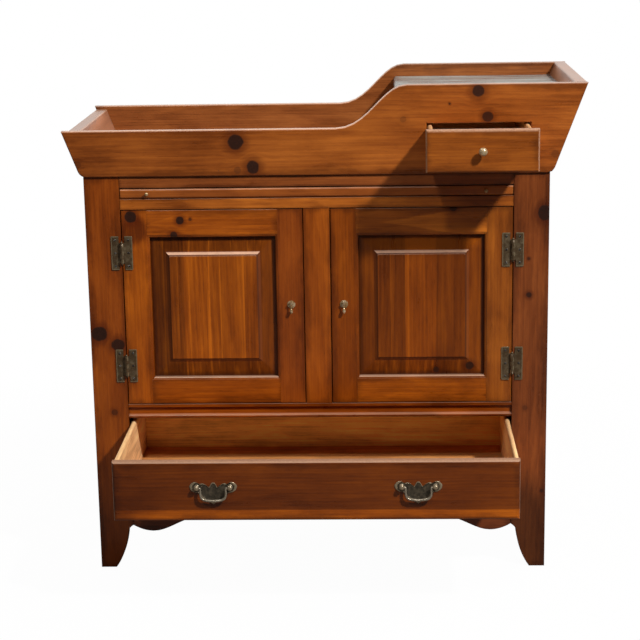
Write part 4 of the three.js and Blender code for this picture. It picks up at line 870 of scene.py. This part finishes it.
# Each ring of the plate: its share of the outline, its lift off the drawer's front, and its paleness, from
# rubbing and as painted highlight.
WING_RINGS = [
    (0.0, 0.0, 0.0), (1.0, 0.0, 0.0), (1.0, 0.6, 0.6), (0.975, 1.45, 1.0), (0.94, 1.6, 1.0),
    (0.9, 1.5, 0.6), (0.875, 0.95, 0.0), (0.5, 0.85, 0.0), (0.0, 0.85, 0.0),
]
POST_ACROSS = 37.5
POST_PROFILE = [
    (0, 0.4), (6.6, 0.4), (6.6, 1.8), (5.6, 2.7), (4.7, 4.0), (4.9, 5.4), (5.7, 6.8), (6.1, 8.6),
    (5.9, 10.4), (5.0, 11.9), (3.4, 12.8), (1.6, 13.2), (0, 13.3),
]
BAIL_RUN = [
    (35.5, 0), (31.5, 0), (29.2, -0.4), (28.6, -2.2), (28.6, -6.5), (28.4, -15), (27.0, -21.5),
    (22.5, -26.6), (15.0, -28.9), (8.0, -29.6), (3.0, -29.8), (0.0, -30.0),
]
BAIL_RADII = [1.9, 2.0, 2.3, 2.4, 2.4, 2.5, 2.6, 2.8, 3.0, 3.1, 2.7, 3.2]
BAIL_WEAR = 0.35
BAIL_SIDES = 14
OUTLINE_STEPS = 4
RUN_STEPS = 6


def flowing(points, per_span):
    """A run of points as a Catmull-Rom curve through them, per_span points to a span."""
    points = np.array(points, float)
    padded = np.vstack([2 * points[0] - points[1], points, 2 * points[-1] - points[-2]])
    share = (np.arange(per_span) / per_span)[None, :, None]
    a, b, c, d = [padded[i:len(padded) - 3 + i, None, :] for i in range(4)]
    bending = (2 * a - 5 * b + 4 * c - d) * share**2 + (3 * b - a - 3 * c + d) * share**3
    curve = 0.5 * (2 * b + (c - a) * share + bending)
    return np.vstack([curve.reshape(-1, points.shape[1]), points[-1:]])


def wing_outline():
    """Points (x, z) round the plate: the right half's shares of its half width and height, made to flow,
    and then their mirror image on the left."""
    right_half = [(x * WING_HALF, z * WING_TOP) for x, z in WING_TOP_SHARES]
    right_half += [(x * WING_HALF, -z * WING_BOTTOM) for x, z in WING_BOTTOM_SHARES]
    right_half = flowing(right_half, OUTLINE_STEPS)
    return np.vstack([right_half, (right_half * (-1, 1))[-2:0:-1]])


def wing_plate(outline):
    """Points of the cast plate: each ring is the outline drawn in towards the plate's heart to the ring's
    share, and lifted off the drawer's front by the ring's lift."""
    share, lift, _ = np.array(WING_RINGS).T[:, :, None]
    ring = WING_HEART + (outline - WING_HEART) * share[..., None]
    return np.stack([ring[..., 0], -lift + 0.0 * ring[..., 0], ring[..., 1]], axis=-1) * MILLIMETRE


def tube(path, radii, sides):
    """Points of a rod round a path: a circle square to the path at each of its points, with both ends
    closed by the path's own end points."""
    forward = np.gradient(path, axis=0)
    forward /= np.linalg.norm(forward, axis=1)[:, None]
    across = np.cross(forward, (0.0, 1.0, 0.0))
    angle = np.linspace(0.0, 2 * np.pi, sides, endpoint=False)[None, :, None]
    ring = across[:, None, :] * np.cos(angle) + np.array([0.0, 1.0, 0.0]) * np.sin(angle)
    wall = path[:, None, :] + ring * radii[:, None, None]
    ends = [np.repeat(path[i][None, None, :], sides, axis=1) for i in (0, -1)]
    return np.concatenate([ends[0], wall, ends[1]])


def bail_rod():
    """Points of the bail: a rod round its half run and that run's mirror image, swelling as its radii
    say."""
    half_run = np.array(BAIL_RUN)
    run = flowing(np.vstack([half_run, (half_run * (-1, 1))[-2::-1]]), RUN_STEPS) * MILLIMETRE
    radii = flowing(np.array(BAIL_RADII + BAIL_RADII[-2::-1])[:, None], RUN_STEPS)[:, 0] * MILLIMETRE
    path = np.column_stack([run[:, 0], np.zeros(len(run)), run[:, 1]])
    return tube(path, radii, BAIL_SIDES)


plate = wing_plate(wing_outline())
plate_wear_and_highlight = np.array(WING_RINGS)[:, 2]
# Painted highlight with rubbing: each post is paler towards its domed top.
post_wear_and_highlight = np.linspace(0.2, 1.0, len(POST_PROFILE))
rod = bail_rod()
rod_wear = np.full(len(rod), BAIL_WEAR)
pull_brass = brass(
    "pull_brass", colour(54, 49, 40), colour(164, 146, 118), 0.38, 77, metal=0.5, mottle=0.3,
)
bail_brass = brass(
    "bail_brass", colour(96, 86, 70), colour(206, 192, 168), 0.32, 78, metal=0.55, mottle=0.2,
)
for side in ["left", "right"]:
    low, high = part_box(side + "_bail_plate")
    seat = np.array([(low[0] + high[0]) / 2, high[1], high[2] - WING_TOP * MILLIMETRE])
    shells = [plate + seat]
    for across in [-POST_ACROSS, POST_ACROSS]:
        shells.append(turned(POST_PROFILE, seat + (across * MILLIMETRE, 0.0, 0.0), ROUND_STEPS))
    wing = mesh_of(side + "_wing", shells, [plate_wear_and_highlight, post_wear_and_highlight, post_wear_and_highlight])
    fixed(side + "_wing", wing, "drawer", pull_brass, side + "_bail_plate")
    low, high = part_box(side + "_bail")
    axis = np.array([seat[0], (low[1] + high[1]) / 2, seat[2]])
    handle = mesh_of(side + "_handle", [rod + axis], [rod_wear])
    fixed(side + "_handle", handle, side + "_bail", bail_brass, side + "_bail")


# A pale floor and a white surround, as the camera sees them; the room itself is dim. Two small lamps stand
# high in front, the stronger to the right, a long strip hangs overhead and draws the bright edges, and two
# soft lamps low behind the cabinet light its back and sides alone, unseen in any reflection.
FLOOR_HALF = 9.0
FLOOR_ROUGHNESS = 0.9
FLOOR_SPECULAR = 0.1
# The camera sees this share of the lit floor, with its shadow, out to the first distance from the middle.
# From there it fades, and past the second distance the floor is plain white.
SHADOW_SHARE = 0.022
SHADOW_FULL = 1.0
SHADOW_END = 2.4
WHITE = (1.0, 1.0, 1.0, 1.0)
floor_mesh = bpy.data.meshes.new("floor")
corners = [(-1.0, -1.0), (1.0, -1.0), (1.0, 1.0), (-1.0, 1.0)]
floor_mesh.from_pydata([(x * FLOOR_HALF, y * FLOOR_HALF, 0.0) for x, y in corners], [], [(0, 1, 2, 3)])
floor = bpy.data.objects.new("floor", floor_mesh)
bpy.context.scene.collection.objects.link(floor)
floor_finish = Finish("floor")
from_middle = floor_finish.node("VectorMath", {0: floor_finish.object_place()}, 1, operation="LENGTH")
shadowed = floor_finish.smooth(from_middle, SHADOW_END, SHADOW_FULL) * SHADOW_SHARE
seen = floor_finish.node("LightPath", {}, output=0)
floor_finish.surface(
    Base_Color=floor_finish.blend(seen, colour(120, 114, 108), colour(236, 234, 231)),
    Roughness=FLOOR_ROUGHNESS,
    Specular_IOR_Level=FLOOR_SPECULAR,
)
white = floor_finish.node("Emission", {"Color": WHITE, "Strength": 1.0})
lit_floor = Value(floor_finish, floor_finish.shader.outputs[0])
mixed = floor_finish.node("MixShader", {0: seen * (1.0 - shadowed), 1: lit_floor, 2: white})
floor_finish.feed(floor_finish.tree.nodes["Material Output"].inputs["Surface"], mixed)
floor_mesh.materials.append(floor_finish.material)

# The room lights the cabinet this little. Reflections see this share of its white towards the front and
# all of it towards the back, with a fade between.
ROOM_LIGHT = 0.032
ROOM_SHEEN = 0.03
SHEEN_FADE = (-0.2, 0.5)
world = bpy.data.worlds.new("surround")
world.use_nodes = True
bpy.context.scene.world = world
room = Finish("surround", world.node_tree)
looking = room.node("TexCoord", {}, output=0)
towards_back = room.node("SeparateXYZ", {0: looking}, output=1)
seen = room.node("LightPath", {}, output=0)
diffuse = room.node("LightPath", {}, output=2)
glossy = room.node("LightPath", {}, output=3)
sheen = room.smooth(towards_back, *SHEEN_FADE) * (1.0 - ROOM_SHEEN) + ROOM_SHEEN
strength = room.math("MAXIMUM", seen, glossy * sheen)
strength = room.math("MAXIMUM", strength, diffuse * ROOM_LIGHT)
backdrop = world.node_tree.nodes["Background"]
room.feed(backdrop.inputs["Color"], WHITE)
room.feed(backdrop.inputs["Strength"], strength)

LAMP_AIM = Vector((0.1, -0.1, 0.8))
# Each lamp's place, its power, its width and depth, and whether the camera and reflections see it.
LAMPS = {
    "key_lamp": (Vector((2.78, -2.8, 4.26)), 276.0, 0.32, 0.32, True),
    "second_lamp": (Vector((-0.86, -3.6, 4.41)), 42.0, 0.32, 0.32, True),
    "strip_lamp": (Vector((0.0, -0.75, 2.9)), 8.0, 2.6, 0.2, True),
    "left_back_lamp": (Vector((-4.2, 3.6, 1.5)), 170.0, 0.9, 0.9, False),
    "right_back_lamp": (Vector((4.2, 3.6, 1.5)), 170.0, 0.9, 0.9, False),
}
for name, (place, power, width, depth, in_view) in LAMPS.items():
    lamp_data = bpy.data.lights.new(name, "AREA")
    lamp_data.shape = "RECTANGLE"
    lamp_data.size = width
    lamp_data.size_y = depth
    lamp_data.energy = power
    lamp = bpy.data.objects.new(name, lamp_data)
    bpy.context.scene.collection.objects.link(lamp)
    lamp.visible_camera = in_view
    lamp.visible_glossy = in_view
    turn = (place - LAMP_AIM).to_track_quat("Z", "Y").to_matrix()
    lamp.matrix_world = Matrix.Translation(place) @ turn.to_4x4()
